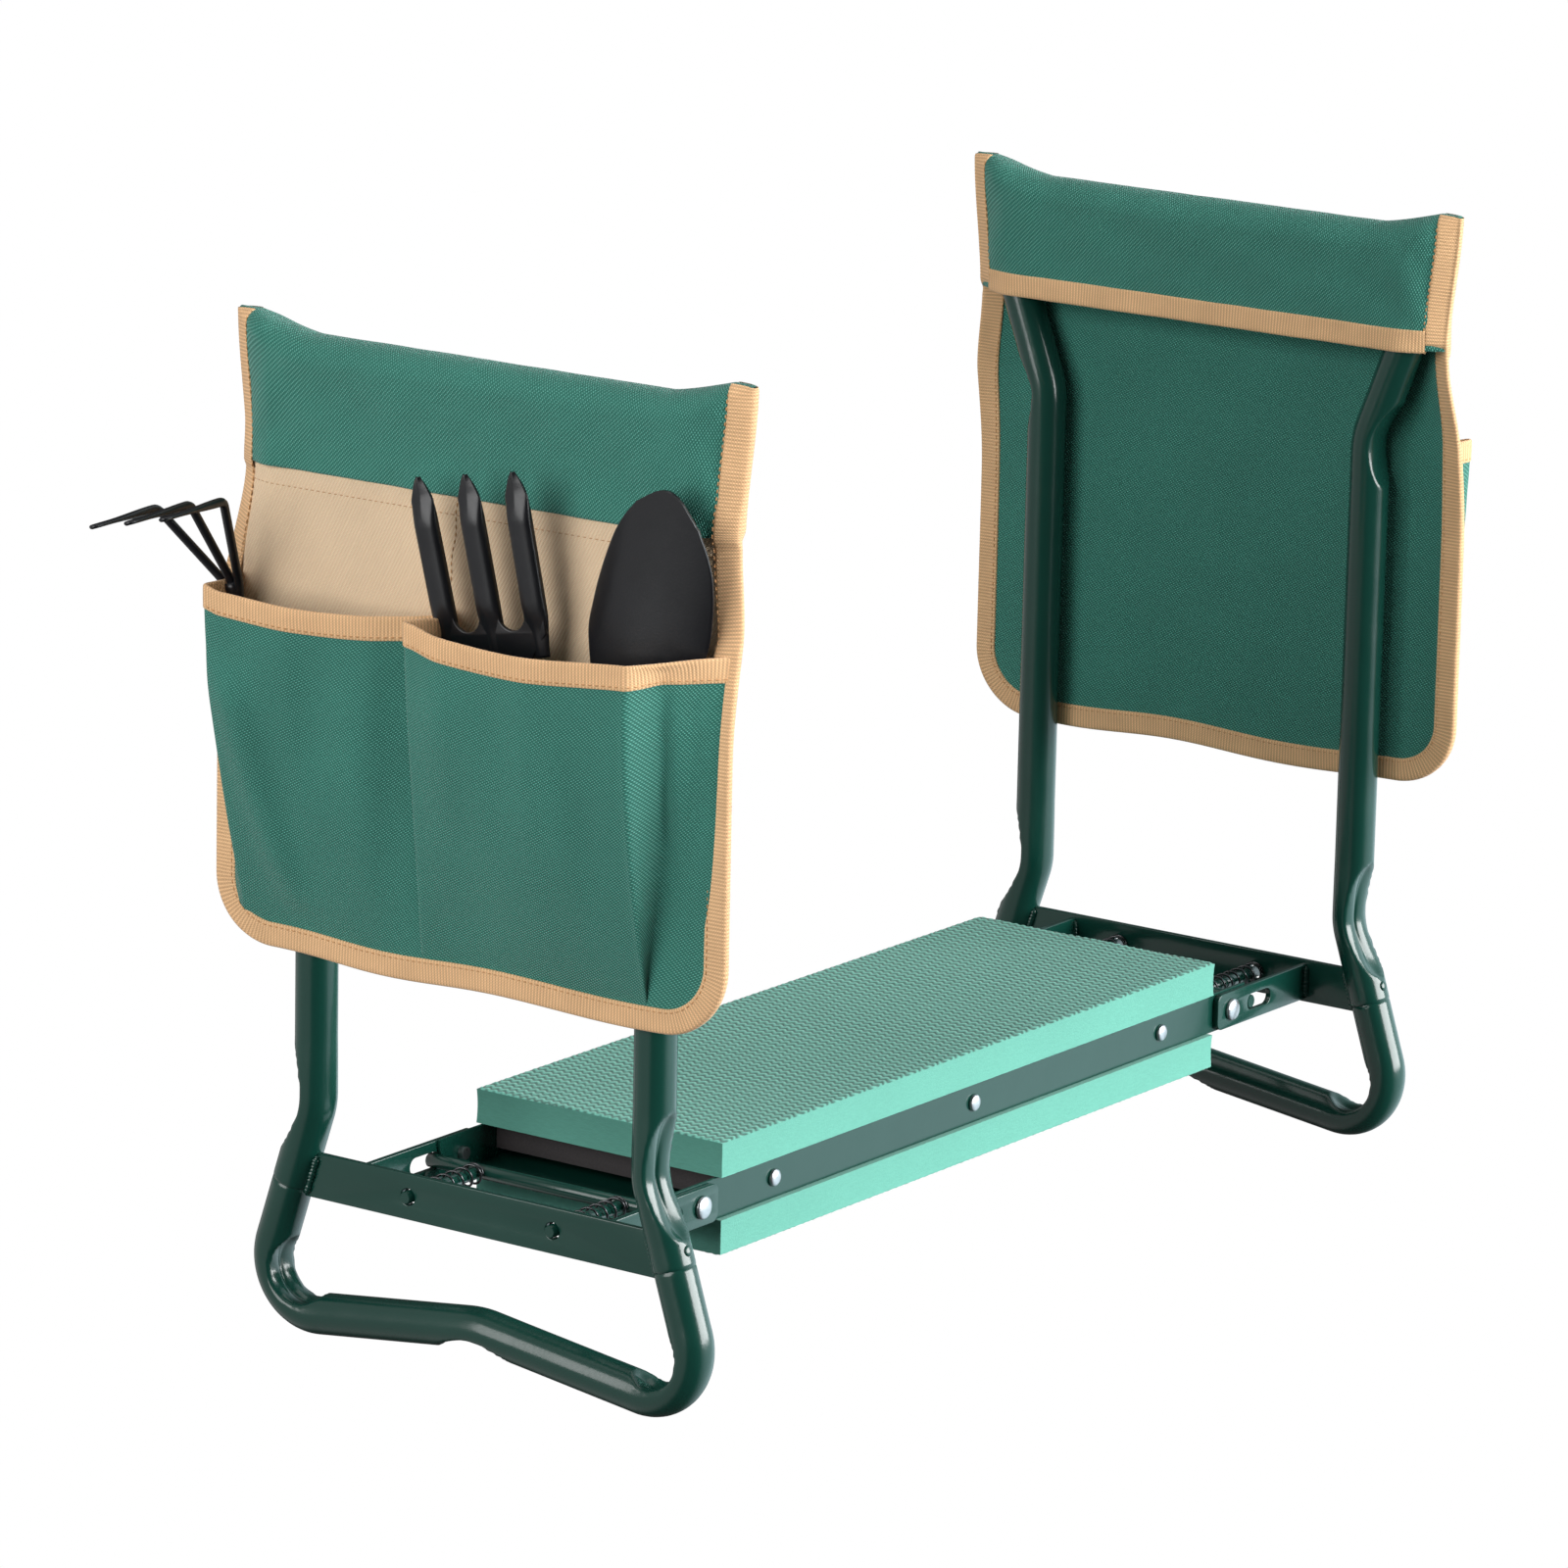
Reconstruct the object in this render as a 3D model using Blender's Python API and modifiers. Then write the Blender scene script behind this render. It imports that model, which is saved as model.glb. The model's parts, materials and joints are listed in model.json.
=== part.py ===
"""Garden kneeler seat: a padded bench on two folding tube frames, with tool pouches.

The kneeler stands with its pads low and its handles up. +X runs along the seat, +Y across it and
+Z up, with the origin on the ground under the middle of the seat. Each end frame is modelled once,
around its own pivot axis with +X pointing away from the seat, and the left one is the same frame
turned half a turn about Z. Run it with blender --background --python part.py.
"""
import math

import bmesh
import bpy
from mathutils import Matrix, Vector

GAP = 0.0003
UNION_OVERLAP = 0.0005
CUT_PAST = 0.002

# Seat
PAD_LENGTH = 0.420
PAD_WIDTH = 0.144
PAD_THICKNESS = 0.0174
PAD_ROUND = 0.0012
RAIL_HALF_HEIGHT = 0.010
RAIL_OUTER_Y = 0.0695
STEEL_SHEET = 0.0015
WEB_HALF_LENGTH = 0.224
WEB_RISE = 0.0001
BOARD_LENGTH = 0.400
BOARD_THICKNESS = 0.0135
RIVET_PITCH = 0.1653
BOARD_RIVET_HOLE_R = 0.0024
BOARD_RIVET_SHANK_R = 0.0021
BOARD_RIVET_DEPTH = 0.0120
BOARD_RIVET_HEAD_R = 0.00425
BOARD_RIVET_HEAD_HEIGHT = 0.0022

# Pivot and lock, measured from the pivot axis
PIVOT_X = 0.226
PIVOT_HOLE_R = 0.0033
PIVOT_SHANK_R = 0.0031
PIVOT_HEAD_R = 0.0056
PIVOT_HEAD_HEIGHT = 0.0026
PIVOT_SHOP_HEAD_R = 0.0045
PIVOT_SHOP_HEAD_HEIGHT = 0.0028
LOCK_REST_X = 0.0190
LOCK_TRAVEL_PER_RADIAN = 0.0089
LOCK_TRAVEL = 0.014
LOCK_ROD_R = 0.0035
LOCK_ROD_HALF_LENGTH = 0.0726
LOCK_CLEARANCE = 0.00035
JAW_END_X = 0.027
JAW_CHAMFER = 0.0018
LIP_TURNS = (0.0, 0.15, 0.30)
GUIDE_PIN_R = 0.003
GUIDE_PIN_Y = 0.042
GUIDE_PIN_STICK_OUT = 0.0022
SPRING_MEAN_R = 0.0049
SPRING_WIRE_R = 0.0006
SPRING_TURNS = 9
SPRING_POINTS_PER_TURN = 7

# End frame
TUBE_R = 0.010
TUBE_WALL = 0.0012
SPIGOT_R = 0.0084
SPIGOT_LENGTH = 0.022
TUBE_SIDES_RESOLUTION = 4
FRAME_X = 0.0725
UPRIGHT_Y = 0.098
LOWER_BEND_Z = 0.035
LOWER_BEND_R = 0.03
FOOT_CORNER = (0.1327, -0.072)
FOOT_MIDDLE_Z = -0.055
FOOT_CORNER_R = 0.025
FOOT_MIDDLE_R = 0.05
SHOULDER_DROP = 0.0004
SEAM_Z = -0.005
UPPER_BEND_Z = 0.288
UPPER_BEND_R = 0.04
HANDLE_CORNER_Y = 0.1346
HANDLE_BAR_Z = 0.386
HANDLE_CORNER_R = 0.025
CROSSBAR_HALF_HEIGHT = 0.011
CROSSBAR_THICKNESS = 0.003
CROSSBAR_HOLE_R = 0.004
EAR_THICKNESS = 0.003
EAR_HALF_HEIGHT = 0.0092
EAR_SEAT_END = 0.0125
EAR_CORNER_R = 0.004
EAR_SLOT_HALF_HEIGHT = 0.0042
TUBE_RIVET_ABOVE_SEAM = 0.007
TUBE_RIVET_R = 0.0018
TUBE_RIVET_HEAD_R = 0.0034
TUBE_RIVET_HEAD_HEIGHT = 0.0016
TUBE_RIVET_DEPTH = 0.0055

# Pouch, in the end frame's coordinates
PANEL_INNER_X = FRAME_X + TUBE_R + 0.0004
PANEL_THICKNESS = 0.0024
PANEL_HALF_WIDTH = 0.145
PANEL_BOTTOM_Z = 0.109
PANEL_CORNER_R = 0.032
CAP_BOTTOM_Z = 0.337
CAP_WALL = 0.0018
CAP_INNER_HALF_DEPTH = TUBE_R + 0.0010
CAP_CORNER_RISE = 0.0076
CAP_RISE_START_Y = 0.104
CAP_TAPER_START_Y = 0.124
CAP_EDGE_HALF_DEPTH = 0.002
POCKET_MOUTH_Z = 0.283
POCKET_BOTTOM_Z = 0.113
POCKET_WALL = 0.0016
POCKET_MOUTH = (
    (-0.141, 0.0),
    (-0.131, 0.032),
    (-0.040, 0.022),
    (-0.021, 0.013),
    (-0.005, 0.0),
    (-0.014, 0.036),
    (0.111, 0.033),
    (0.141, 0.0),
)
POCKET_FOOT_Y = (-0.141, -0.128, -0.060, -0.034, -0.014, 0.002, 0.114, 0.141)
POCKET_FALLS = (0.0, 0.16, 0.34, 0.54, 0.74, 0.90, 1.0)
POCKET_FLATTENING = 0.8
POCKET_SEAM_DEPTH = 0.0001

# Hand tools kept in the left pouch, measured along each tool from the pocket's mouth
HANDLE_LENGTH = 0.080
HANDLE_TOP_T = -0.034
HANDLE_R = 0.0088
HANDLE_END_R = 0.0068
TANG_R = 0.0038
TANG_DEPTH = 0.012
TANG_CLEARANCE = 0.00005
TINE_R = 0.0022
TINE_SPREAD = 0.020
TINE_TOP_T = 0.040
TINE_TOP_OUT = 0.018
TINE_TIP_T = 0.0405
TINE_TIP_OUT = 0.063
FORK_PITCH = 0.0255
FORK_TINE_HALF_WIDTH = 0.0055
FORK_TIP_T = 0.071
FORK_SHOULDER_T = 0.056
FORK_WEB_T = 0.007
FORK_THICKNESS = 0.0025
TROWEL_TIP_T = 0.079
TROWEL_BEND_R = 0.060
TROWEL_THICKNESS = 0.0016
# (distance below the tip, half the blade's width)
TROWEL_OUTLINE = (
    (0.0, 0.0033),
    (0.003, 0.0075),
    (0.010, 0.0155),
    (0.019, 0.0225),
    (0.031, 0.0285),
    (0.045, 0.0320),
    (0.060, 0.0340),
    (0.080, 0.0335),
    (0.100, 0.0200),
    (0.109, 0.0033),
)

RODS = 12
COLOURS = {
    "steel_green": ((0.012, 0.075, 0.055), 0.28, 0.35),
    "foam_green": ((0.08, 0.42, 0.29), 0.85, 0.0),
    "board_black": ((0.035, 0.028, 0.028), 0.7, 0.0),
    "zinc": ((0.72, 0.73, 0.74), 0.3, 1.0),
    "fabric_green": ((0.014, 0.13, 0.095), 0.8, 0.0),
    "fabric_beige": ((0.58, 0.42, 0.27), 0.85, 0.0),
    "tool_black": ((0.018, 0.018, 0.02), 0.4, 0.3),
    "spring_black": ((0.02, 0.02, 0.022), 0.35, 0.6),
    "grip_green": ((0.02, 0.16, 0.11), 0.55, 0.0),
}


# ---------------------------------------------------------------- scene helpers

def clear_scene():
    for old in list(bpy.data.objects):
        bpy.data.objects.remove(old, do_unlink=True)


def new_collection(name):
    made = bpy.data.collections.new(name)
    bpy.context.scene.collection.children.link(made)
    return made


clear_scene()
PARTS = new_collection("garden_kneeler_seat")
CUTTERS = new_collection("cutters")


def material(name):
    made = bpy.data.materials.get(name)
    if made is None:
        colour, roughness, metallic = COLOURS[name]
        made = bpy.data.materials.new(name)
        made.use_nodes = True
        shader = made.node_tree.nodes["Principled BSDF"]
        shader.inputs["Base Color"].default_value = (*colour, 1.0)
        shader.inputs["Roughness"].default_value = roughness
        shader.inputs["Metallic"].default_value = metallic
        made.diffuse_color = (*colour, 1.0)
    return made


def place(name, data, colour, parent=None, matrix=None):
    """Link an object for this data to the parts, with its own material."""
    made = bpy.data.objects.new(name, data)
    PARTS.objects.link(made)
    if not made.data.materials:
        made.data.materials.append(material(colour))
    if matrix is not None:
        made.matrix_basis = matrix
    made.parent = parent
    return made


def empty(name, parent=None, matrix=None):
    made = bpy.data.objects.new(name, None)
    PARTS.objects.link(made)
    made.empty_display_size = 0.02
    if matrix is not None:
        made.matrix_basis = matrix
    made.parent = parent
    return made


def smooth(mesh):
    mesh.shade_smooth()
    mesh.set_sharp_from_angle(angle=math.radians(40))


def boolean(target, other, operation):
    """Cut or join with another solid, which is kept out of the model as a guide."""
    for group in list(other.users_collection):
        group.objects.unlink(other)
    CUTTERS.objects.link(other)
    other.hide_render = True
    other.display_type = "WIRE"
    step = target.modifiers.new(operation.lower() + "_" + other.name, "BOOLEAN")
    step.operation = operation
    step.solver = "EXACT"
    step.object = other


def as_mesh(curve_object):
    """The curve's closed mesh in a new object, with the curve removed."""
    name = curve_object.name
    depsgraph = bpy.context.evaluated_depsgraph_get()
    mesh = bpy.data.meshes.new_from_object(curve_object.evaluated_get(depsgraph))
    work = bmesh.new()
    work.from_mesh(mesh)
    bmesh.ops.remove_doubles(work, verts=work.verts, dist=0.00002)
    work.to_mesh(mesh)
    work.free()
    made = bpy.data.objects.new(name, mesh)
    for group in curve_object.users_collection:
        group.objects.link(made)
    made.matrix_basis = curve_object.matrix_basis
    made.parent = curve_object.parent
    bpy.data.objects.remove(curve_object, do_unlink=True)
    made.name = name
    return made


# ---------------------------------------------------------------- shape helpers

def arc(centre, radius, start, end, steps):
    """Points on a circle from one angle to another, both included."""
    turns = [start + (end - start) * i / steps for i in range(steps + 1)]
    return [(centre[0] + radius * math.cos(a), centre[1] + radius * math.sin(a)) for a in turns]


def circle(centre, radius, steps=RODS):
    return arc(centre, radius, 0.0, 2.0 * math.pi, steps)[:-1]


def filleted(corners, radii, degrees_per_step=20):
    """An open line through the corners, with each inner corner rounded to its radius."""
    points = [Vector(corners[0])]
    for before, here, after, radius in zip(corners, corners[1:], corners[2:], radii):
        here = Vector(here)
        back = (Vector(before) - here).normalized()
        ahead = (Vector(after) - here).normalized()
        half = back.angle(ahead) / 2.0
        centre = here + (back + ahead).normalized() * (radius / math.sin(half))
        first = here + back * (radius / math.tan(half))
        last = here + ahead * (radius / math.tan(half))
        sweep = math.pi - 2.0 * half
        steps = max(2, round(math.degrees(sweep) / degrees_per_step))
        for i in range(steps + 1):
            swing = math.sin(sweep * (1 - i / steps)), math.sin(sweep * i / steps)
            arm = ((first - centre) * swing[0] + (last - centre) * swing[1]) / math.sin(sweep)
            points.append(centre + arm)
    points.append(Vector(corners[-1]))
    return points


def wire(name, points, radius, colour, parent=None, resolution=2, scales=None, capped=True):
    """A round bar along the points."""
    curve = bpy.data.curves.new(name, "CURVE")
    curve.dimensions = "3D"
    curve.bevel_depth = radius
    curve.bevel_resolution = resolution
    curve.use_fill_caps = capped
    spline = curve.splines.new("POLY")
    spline.points.add(len(points) - 1)
    for i, point in enumerate(points):
        spline.points[i].co = (*point, 1.0)
        if scales:
            spline.points[i].radius = scales[i]
    return place(name, curve, colour, parent)


def plate(name, loops, thickness, colour, parent=None, matrix=None):
    """A flat outline with holes: the first loop is the edge and the others are holes."""
    curve = bpy.data.curves.new(name, "CURVE")
    curve.dimensions = "2D"
    curve.fill_mode = "BOTH"
    curve.extrude = thickness / 2.0
    for loop in loops:
        spline = curve.splines.new("POLY")
        spline.points.add(len(loop) - 1)
        spline.use_cyclic_u = True
        for i, (x, y) in enumerate(loop):
            spline.points[i].co = (x, y, 0.0, 1.0)
    return place(name, curve, colour, parent, matrix)


def turned(name, profile, colour, parent=None, matrix=None, steps=RODS):
    """A solid turned about local Z from (radius, height) points, listed from top to bottom."""
    mesh = bpy.data.meshes.new(name)
    mesh.from_pydata([(r, 0.0, z) for r, z in profile], [(i, i + 1) for i in range(len(profile) - 1)], [])
    made = place(name, mesh, colour, parent, matrix)
    screw = made.modifiers.new("turn", "SCREW")
    screw.axis = "Z"
    screw.steps = steps
    screw.render_steps = steps
    screw.use_merge_vertices = True
    screw.merge_threshold = 0.00005
    return made


def box(name, low, high, colour, parent=None, round_edge=0.0):
    mesh = bpy.data.meshes.new(name)
    work = bmesh.new()
    size = Vector(high) - Vector(low)
    middle = (Vector(high) + Vector(low)) / 2.0
    shape = Matrix.Translation(middle) @ Matrix.Diagonal((*size, 1.0))
    bmesh.ops.create_cube(work, size=1.0, matrix=shape)
    work.to_mesh(mesh)
    work.free()
    made = place(name, mesh, colour, parent)
    if round_edge:
        bevel = made.modifiers.new("soft_edge", "BEVEL")
        bevel.width = round_edge
        bevel.segments = 2
    return made


def rod(name, start, end, radius, colour, parent=None, steps=RODS):
    """A plain cylinder between two points."""
    start, end = Vector(start), Vector(end)
    mesh = bpy.data.meshes.new(name)
    work = bmesh.new()
    turn = (end - start).to_track_quat("Z", "Y").to_matrix().to_4x4()
    shape = Matrix.Translation((start + end) / 2.0) @ turn
    bmesh.ops.create_cone(work, cap_ends=True, segments=steps, radius1=radius, radius2=radius,
                          depth=(end - start).length, matrix=shape)
    work.to_mesh(mesh)
    work.free()
    smooth(mesh)
    return place(name, mesh, colour, parent)


def sheet_solid(name, rows, thickness, colour, parent=None):
    """A thin wall over rows of points, thickened towards the side that its faces point to."""
    mesh = bpy.data.meshes.new(name)
    columns = len(rows[0])
    faces = []
    for r in range(len(rows) - 1):
        for c in range(columns - 1):
            a = r * columns + c
            faces.append((a, a + 1, a + 1 + columns, a + columns))
    mesh.from_pydata([p for row in rows for p in row], [], faces)
    made = place(name, mesh, colour, parent)
    solid = made.modifiers.new("thickness", "SOLIDIFY")
    solid.thickness = thickness
    solid.offset = 1.0
    solid.use_even_offset = True
    return made


UPRIGHT_PLANE = Matrix(((1, 0, 0, 0), (0, 0, -1, 0), (0, 1, 0, 0), (0, 0, 0, 1)))
CROSS_PLANE = Matrix(((0, 0, 1, 0), (1, 0, 0, 0), (0, 1, 0, 0), (0, 0, 0, 1)))


# ---------------------------------------------------------------- frame geometry

def slant_y(z):
    """Where the lower part of an upright runs, between its bend and the foot's corner."""
    slope = (FOOT_CORNER[0] - UPRIGHT_Y) / (LOWER_BEND_Z - FOOT_CORNER[1])
    return UPRIGHT_Y + (LOWER_BEND_Z - z) * slope


def foot_path():
    """The foot tube's centre line in Y and Z, from one spigot end round to the other."""
    top = SEAM_Z + SPIGOT_LENGTH
    corners = [
        (0.0, slant_y(top), top),
        (0.0, *FOOT_CORNER),
        (0.0, 0.0, FOOT_MIDDLE_Z),
        (0.0, -FOOT_CORNER[0], FOOT_CORNER[1]),
        (0.0, -slant_y(top), top),
    ]
    return filleted(corners, (FOOT_CORNER_R, FOOT_MIDDLE_R, FOOT_CORNER_R))


def handle_path():
    """The handle tube's centre line in Y and Z, from seam to seam."""
    start = SEAM_Z + GAP
    half = [
        (0.0, slant_y(start), start),
        (0.0, UPRIGHT_Y, LOWER_BEND_Z),
        (0.0, UPRIGHT_Y, UPPER_BEND_Z),
        (0.0, HANDLE_CORNER_Y, HANDLE_BAR_Z),
    ]
    other = [(x, -y, z) for x, y, z in reversed(half)]
    radii = (LOWER_BEND_R, UPPER_BEND_R, HANDLE_CORNER_R)
    return filleted(half + other, radii + radii[::-1])


RAIL_Z = TUBE_R - min(point.z for point in foot_path())


# ---------------------------------------------------------------- seat

def lock_path(turn):
    """The lock rod's centre and its unit inward normal, as the frame folds by this angle."""
    reach = LOCK_REST_X + LOCK_TRAVEL_PER_RADIAN * turn
    radial = Vector((math.cos(turn), math.sin(turn)))
    ahead = radial * LOCK_TRAVEL_PER_RADIAN + Vector((-radial.y, radial.x)) * reach
    return radial * reach, Vector((-ahead.y, ahead.x)).normalized()


def lip_profile():
    """The rail's end above the lock rod, shaped so that the swinging rod just clears it."""
    keep_off = LOCK_ROD_R + LOCK_CLEARANCE
    points = [(LOCK_REST_X - keep_off, -keep_off - 0.0001), (LOCK_REST_X - keep_off, 0.0)]
    for turn in LIP_TURNS:
        centre, inward = lock_path(turn)
        points.append(tuple(centre + inward * keep_off))
    points.append((points[-1][0], RAIL_HALF_HEIGHT))
    return points


def rail_outline():
    """One side rail with a lock notch at each end."""
    jaw_top = lip_profile()[0][1]
    jaw = [
        (JAW_END_X, -RAIL_HALF_HEIGHT),
        (JAW_END_X, jaw_top - JAW_CHAMFER),
        (JAW_END_X - JAW_CHAMFER, jaw_top),
    ]
    end = [(PIVOT_X + x, z) for x, z in jaw + lip_profile()]
    return end + [(-x, z) for x, z in reversed(end)]


def seat(root):
    rivet_holes = [circle((x, 0.0), BOARD_RIVET_HOLE_R) for x in (-RIVET_PITCH, 0.0, RIVET_PITCH)]
    pivot_holes = [circle((x, 0.0), PIVOT_HOLE_R) for x in (-PIVOT_X, PIVOT_X)]
    rails = []
    rail_y = RAIL_OUTER_Y - STEEL_SHEET / 2.0
    for side, y in (("front", -rail_y), ("back", rail_y)):
        flat = plate("rail_" + side, [rail_outline(), *rivet_holes, *pivot_holes], STEEL_SHEET,
                     "steel_green", root, Matrix.Translation((0, y, 0)) @ UPRIGHT_PLANE)
        rails.append(as_mesh(flat))
    inner_y = RAIL_OUTER_Y - STEEL_SHEET
    web_y = inner_y + UNION_OVERLAP
    web_bottom = -RAIL_HALF_HEIGHT + WEB_RISE
    web = box("seat_tray", (-WEB_HALF_LENGTH, -web_y, web_bottom),
              (WEB_HALF_LENGTH, web_y, web_bottom + STEEL_SHEET), "steel_green", root)
    for rail in rails:
        boolean(web, rail, "UNION")

    board_top = RAIL_HALF_HEIGHT
    board_y = inner_y - GAP
    board = box("seat_board", (-BOARD_LENGTH / 2, -board_y, board_top - BOARD_THICKNESS),
                (BOARD_LENGTH / 2, board_y, board_top), "board_black", root)
    bottoms = {"upper_pad": RAIL_HALF_HEIGHT + GAP, "lower_pad": -RAIL_HALF_HEIGHT - GAP - PAD_THICKNESS}
    for name, bottom in bottoms.items():
        box(name, (-PAD_LENGTH / 2, -PAD_WIDTH / 2, bottom),
            (PAD_LENGTH / 2, PAD_WIDTH / 2, bottom + PAD_THICKNESS), "foam_green", root, PAD_ROUND)

    for side, sign in (("front", -1.0), ("back", 1.0)):
        for i, x in enumerate((-RIVET_PITCH, 0.0, RIVET_PITCH)):
            deep = board_y - BOARD_RIVET_DEPTH - GAP
            hole = rod("board_hole_%s_%d" % (side, i + 1), (x, sign * deep, 0),
                       (x, sign * (board_y + CUT_PAST), 0), BOARD_RIVET_HOLE_R, "zinc", root)
            boolean(board, hole, "DIFFERENCE")
            board_rivet("board_rivet_%s_%d" % (side, i + 1), x, sign, board_y, root)
        for name, x in (("left", -PIVOT_X), ("right", PIVOT_X)):
            pivot_rivet("%s_pivot_rivet_%s" % (name, side), x, sign, root)


def domed(radius, height, steps=3):
    """Points from the top of a shallow dome down to its rim."""
    return [(radius * math.sin(a), height * math.cos(a)) for a in
            [math.pi / 2 * i / steps for i in range(steps + 1)]]


def facing(x, sign):
    """A frame whose +Z points out of one side of the seat."""
    turn = Matrix.Rotation(-sign * math.pi / 2, 4, "X")
    return Matrix.Translation((x, 0, 0)) @ turn


def board_rivet(name, x, sign, board_y, root):
    seat_face = RAIL_OUTER_Y + GAP
    head = [(r, seat_face + z) for r, z in domed(BOARD_RIVET_HEAD_R, BOARD_RIVET_HEAD_HEIGHT)]
    tip = board_y - BOARD_RIVET_DEPTH
    shank = [(BOARD_RIVET_SHANK_R, seat_face), (BOARD_RIVET_SHANK_R, tip), (0.0, tip)]
    turned(name, head + shank, "zinc", root, facing(x, sign))


def pivot_rivet(name, x, sign, root):
    """The pin that the frame folds on, with a head outside the ear and one inside the rail."""
    outer = RAIL_OUTER_Y + GAP + EAR_THICKNESS + GAP
    inner = RAIL_OUTER_Y - STEEL_SHEET - GAP
    head = [(r, outer + z) for r, z in domed(PIVOT_HEAD_R, PIVOT_HEAD_HEIGHT)]
    shop_head = domed(PIVOT_SHOP_HEAD_R, PIVOT_SHOP_HEAD_HEIGHT)
    shop = [(r, inner - z) for r, z in reversed(shop_head)]
    shank = [(PIVOT_SHANK_R, outer), (PIVOT_SHANK_R, inner)]
    turned(name, head + shank + shop, "zinc", root, facing(x, sign))


# ---------------------------------------------------------------- end frames

def hollow_tube(name, path, parent, scales=None):
    """A bent tube, open at both ends."""
    shell = as_mesh(wire(name, path, TUBE_R, "steel_green", parent, TUBE_SIDES_RESOLUTION, scales, False))
    shell.matrix_basis = Matrix.Translation((FRAME_X, 0, 0))
    smooth(shell.data)
    wall = shell.modifiers.new("wall", "SOLIDIFY")
    wall.thickness = TUBE_WALL
    wall.offset = -1.0
    return shell


def tube_rivet(side, sign, tubes, parent):
    """A small rivet that pins the handle tube to the spigot inside it."""
    z = SEAM_Z + TUBE_RIVET_ABOVE_SEAM
    along = Vector((0.0, slant_y(z + 0.01) - slant_y(z), 0.01)).normalized()
    outward = Vector((0.0, sign * along.z, -along.y))
    centre = Vector((FRAME_X, sign * slant_y(z), z))
    turn = outward.to_track_quat("Z", "Y").to_matrix().to_4x4()
    start = TUBE_R - TUBE_RIVET_DEPTH
    profile = [(r, TUBE_R + GAP + h) for r, h in domed(TUBE_RIVET_HEAD_R, TUBE_RIVET_HEAD_HEIGHT)]
    profile += [(TUBE_RIVET_R, TUBE_R + GAP), (TUBE_RIVET_R, start), (0.0, start)]
    turned(side + "_tube_rivet", profile, "steel_green", parent, Matrix.Translation(centre) @ turn, 8)
    for tube in tubes:
        hole = rod(tube.name + "_hole_" + side, centre + outward * (start - CUT_PAST),
                   centre + outward * (TUBE_R + CUT_PAST), TUBE_RIVET_R + GAP, "steel_green", parent, 8)
        boolean(tube, hole, "DIFFERENCE")


def frame_tubes(name, sides, parent):
    path = foot_path()
    neck = SPIGOT_R / TUBE_R
    shoulder = [Vector((0.0, sign * slant_y(z), z)) for sign in (1, -1)
                for z in (SEAM_Z, SEAM_Z - SHOULDER_DROP)]
    points = [path[0], shoulder[0], shoulder[1], *path[1:-1], shoulder[3], shoulder[2], path[-1]]
    scales = [neck, neck] + [1.0] * (len(points) - 4) + [neck, neck]
    foot = hollow_tube(name + "_foot_tube", points, parent, scales)
    handle = hollow_tube(name + "_handle_tube", handle_path(), parent)
    for side, sign in sides:
        tube_rivet("%s_%s" % (name, side), sign, (foot, handle), parent)


def crossbar(name, parent):
    """The flat bar welded between the uprights, with two holes for the guide pins."""
    top, low = CROSSBAR_HALF_HEIGHT, -CROSSBAR_HALF_HEIGHT
    slant = math.atan2(slant_y(low) - slant_y(top), top - low)
    reach = TUBE_R / math.cos(slant) + GAP
    edge = [
        (slant_y(low) - reach, low),
        (slant_y(top) - reach, top),
        (-slant_y(top) + reach, top),
        (-slant_y(low) + reach, low),
    ]
    holes = [circle((y, 0.0), CROSSBAR_HOLE_R) for y in (-GUIDE_PIN_Y, GUIDE_PIN_Y)]
    plate(name + "_crossbar", [edge, *holes], CROSSBAR_THICKNESS, "steel_green", parent,
          Matrix.Translation((FRAME_X, 0, 0)) @ CROSS_PLANE)


def ear(name, sign, parent):
    """The flat arm that joins the crossbar to the seat's pivot, slotted for the lock rod."""
    weld_x = FRAME_X - CROSSBAR_THICKNESS / 2 - GAP
    high = EAR_HALF_HEIGHT
    corner = EAR_CORNER_R
    edge = [(weld_x, -high), (weld_x, high)]
    edge += arc((-EAR_SEAT_END + corner, high - corner), corner, math.pi / 2, math.pi, 3)
    edge += arc((-EAR_SEAT_END + corner, -high + corner), corner, math.pi, 3 * math.pi / 2, 3)
    half = EAR_SLOT_HALF_HEIGHT
    near = LOCK_REST_X - LOCK_ROD_R - LOCK_CLEARANCE + half
    far = LOCK_REST_X + LOCK_TRAVEL + LOCK_ROD_R + LOCK_CLEARANCE - half
    slot = arc((near, 0), half, math.pi / 2, 3 * math.pi / 2, 5)
    slot += arc((far, 0), half, -math.pi / 2, math.pi / 2, 5)
    middle_y = sign * (RAIL_OUTER_Y + GAP + EAR_THICKNESS / 2)
    plate(name, [edge, circle((0, 0), PIVOT_HOLE_R), slot], EAR_THICKNESS, "steel_green", parent,
          Matrix.Translation((0, middle_y, 0)) @ UPRIGHT_PLANE)


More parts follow.
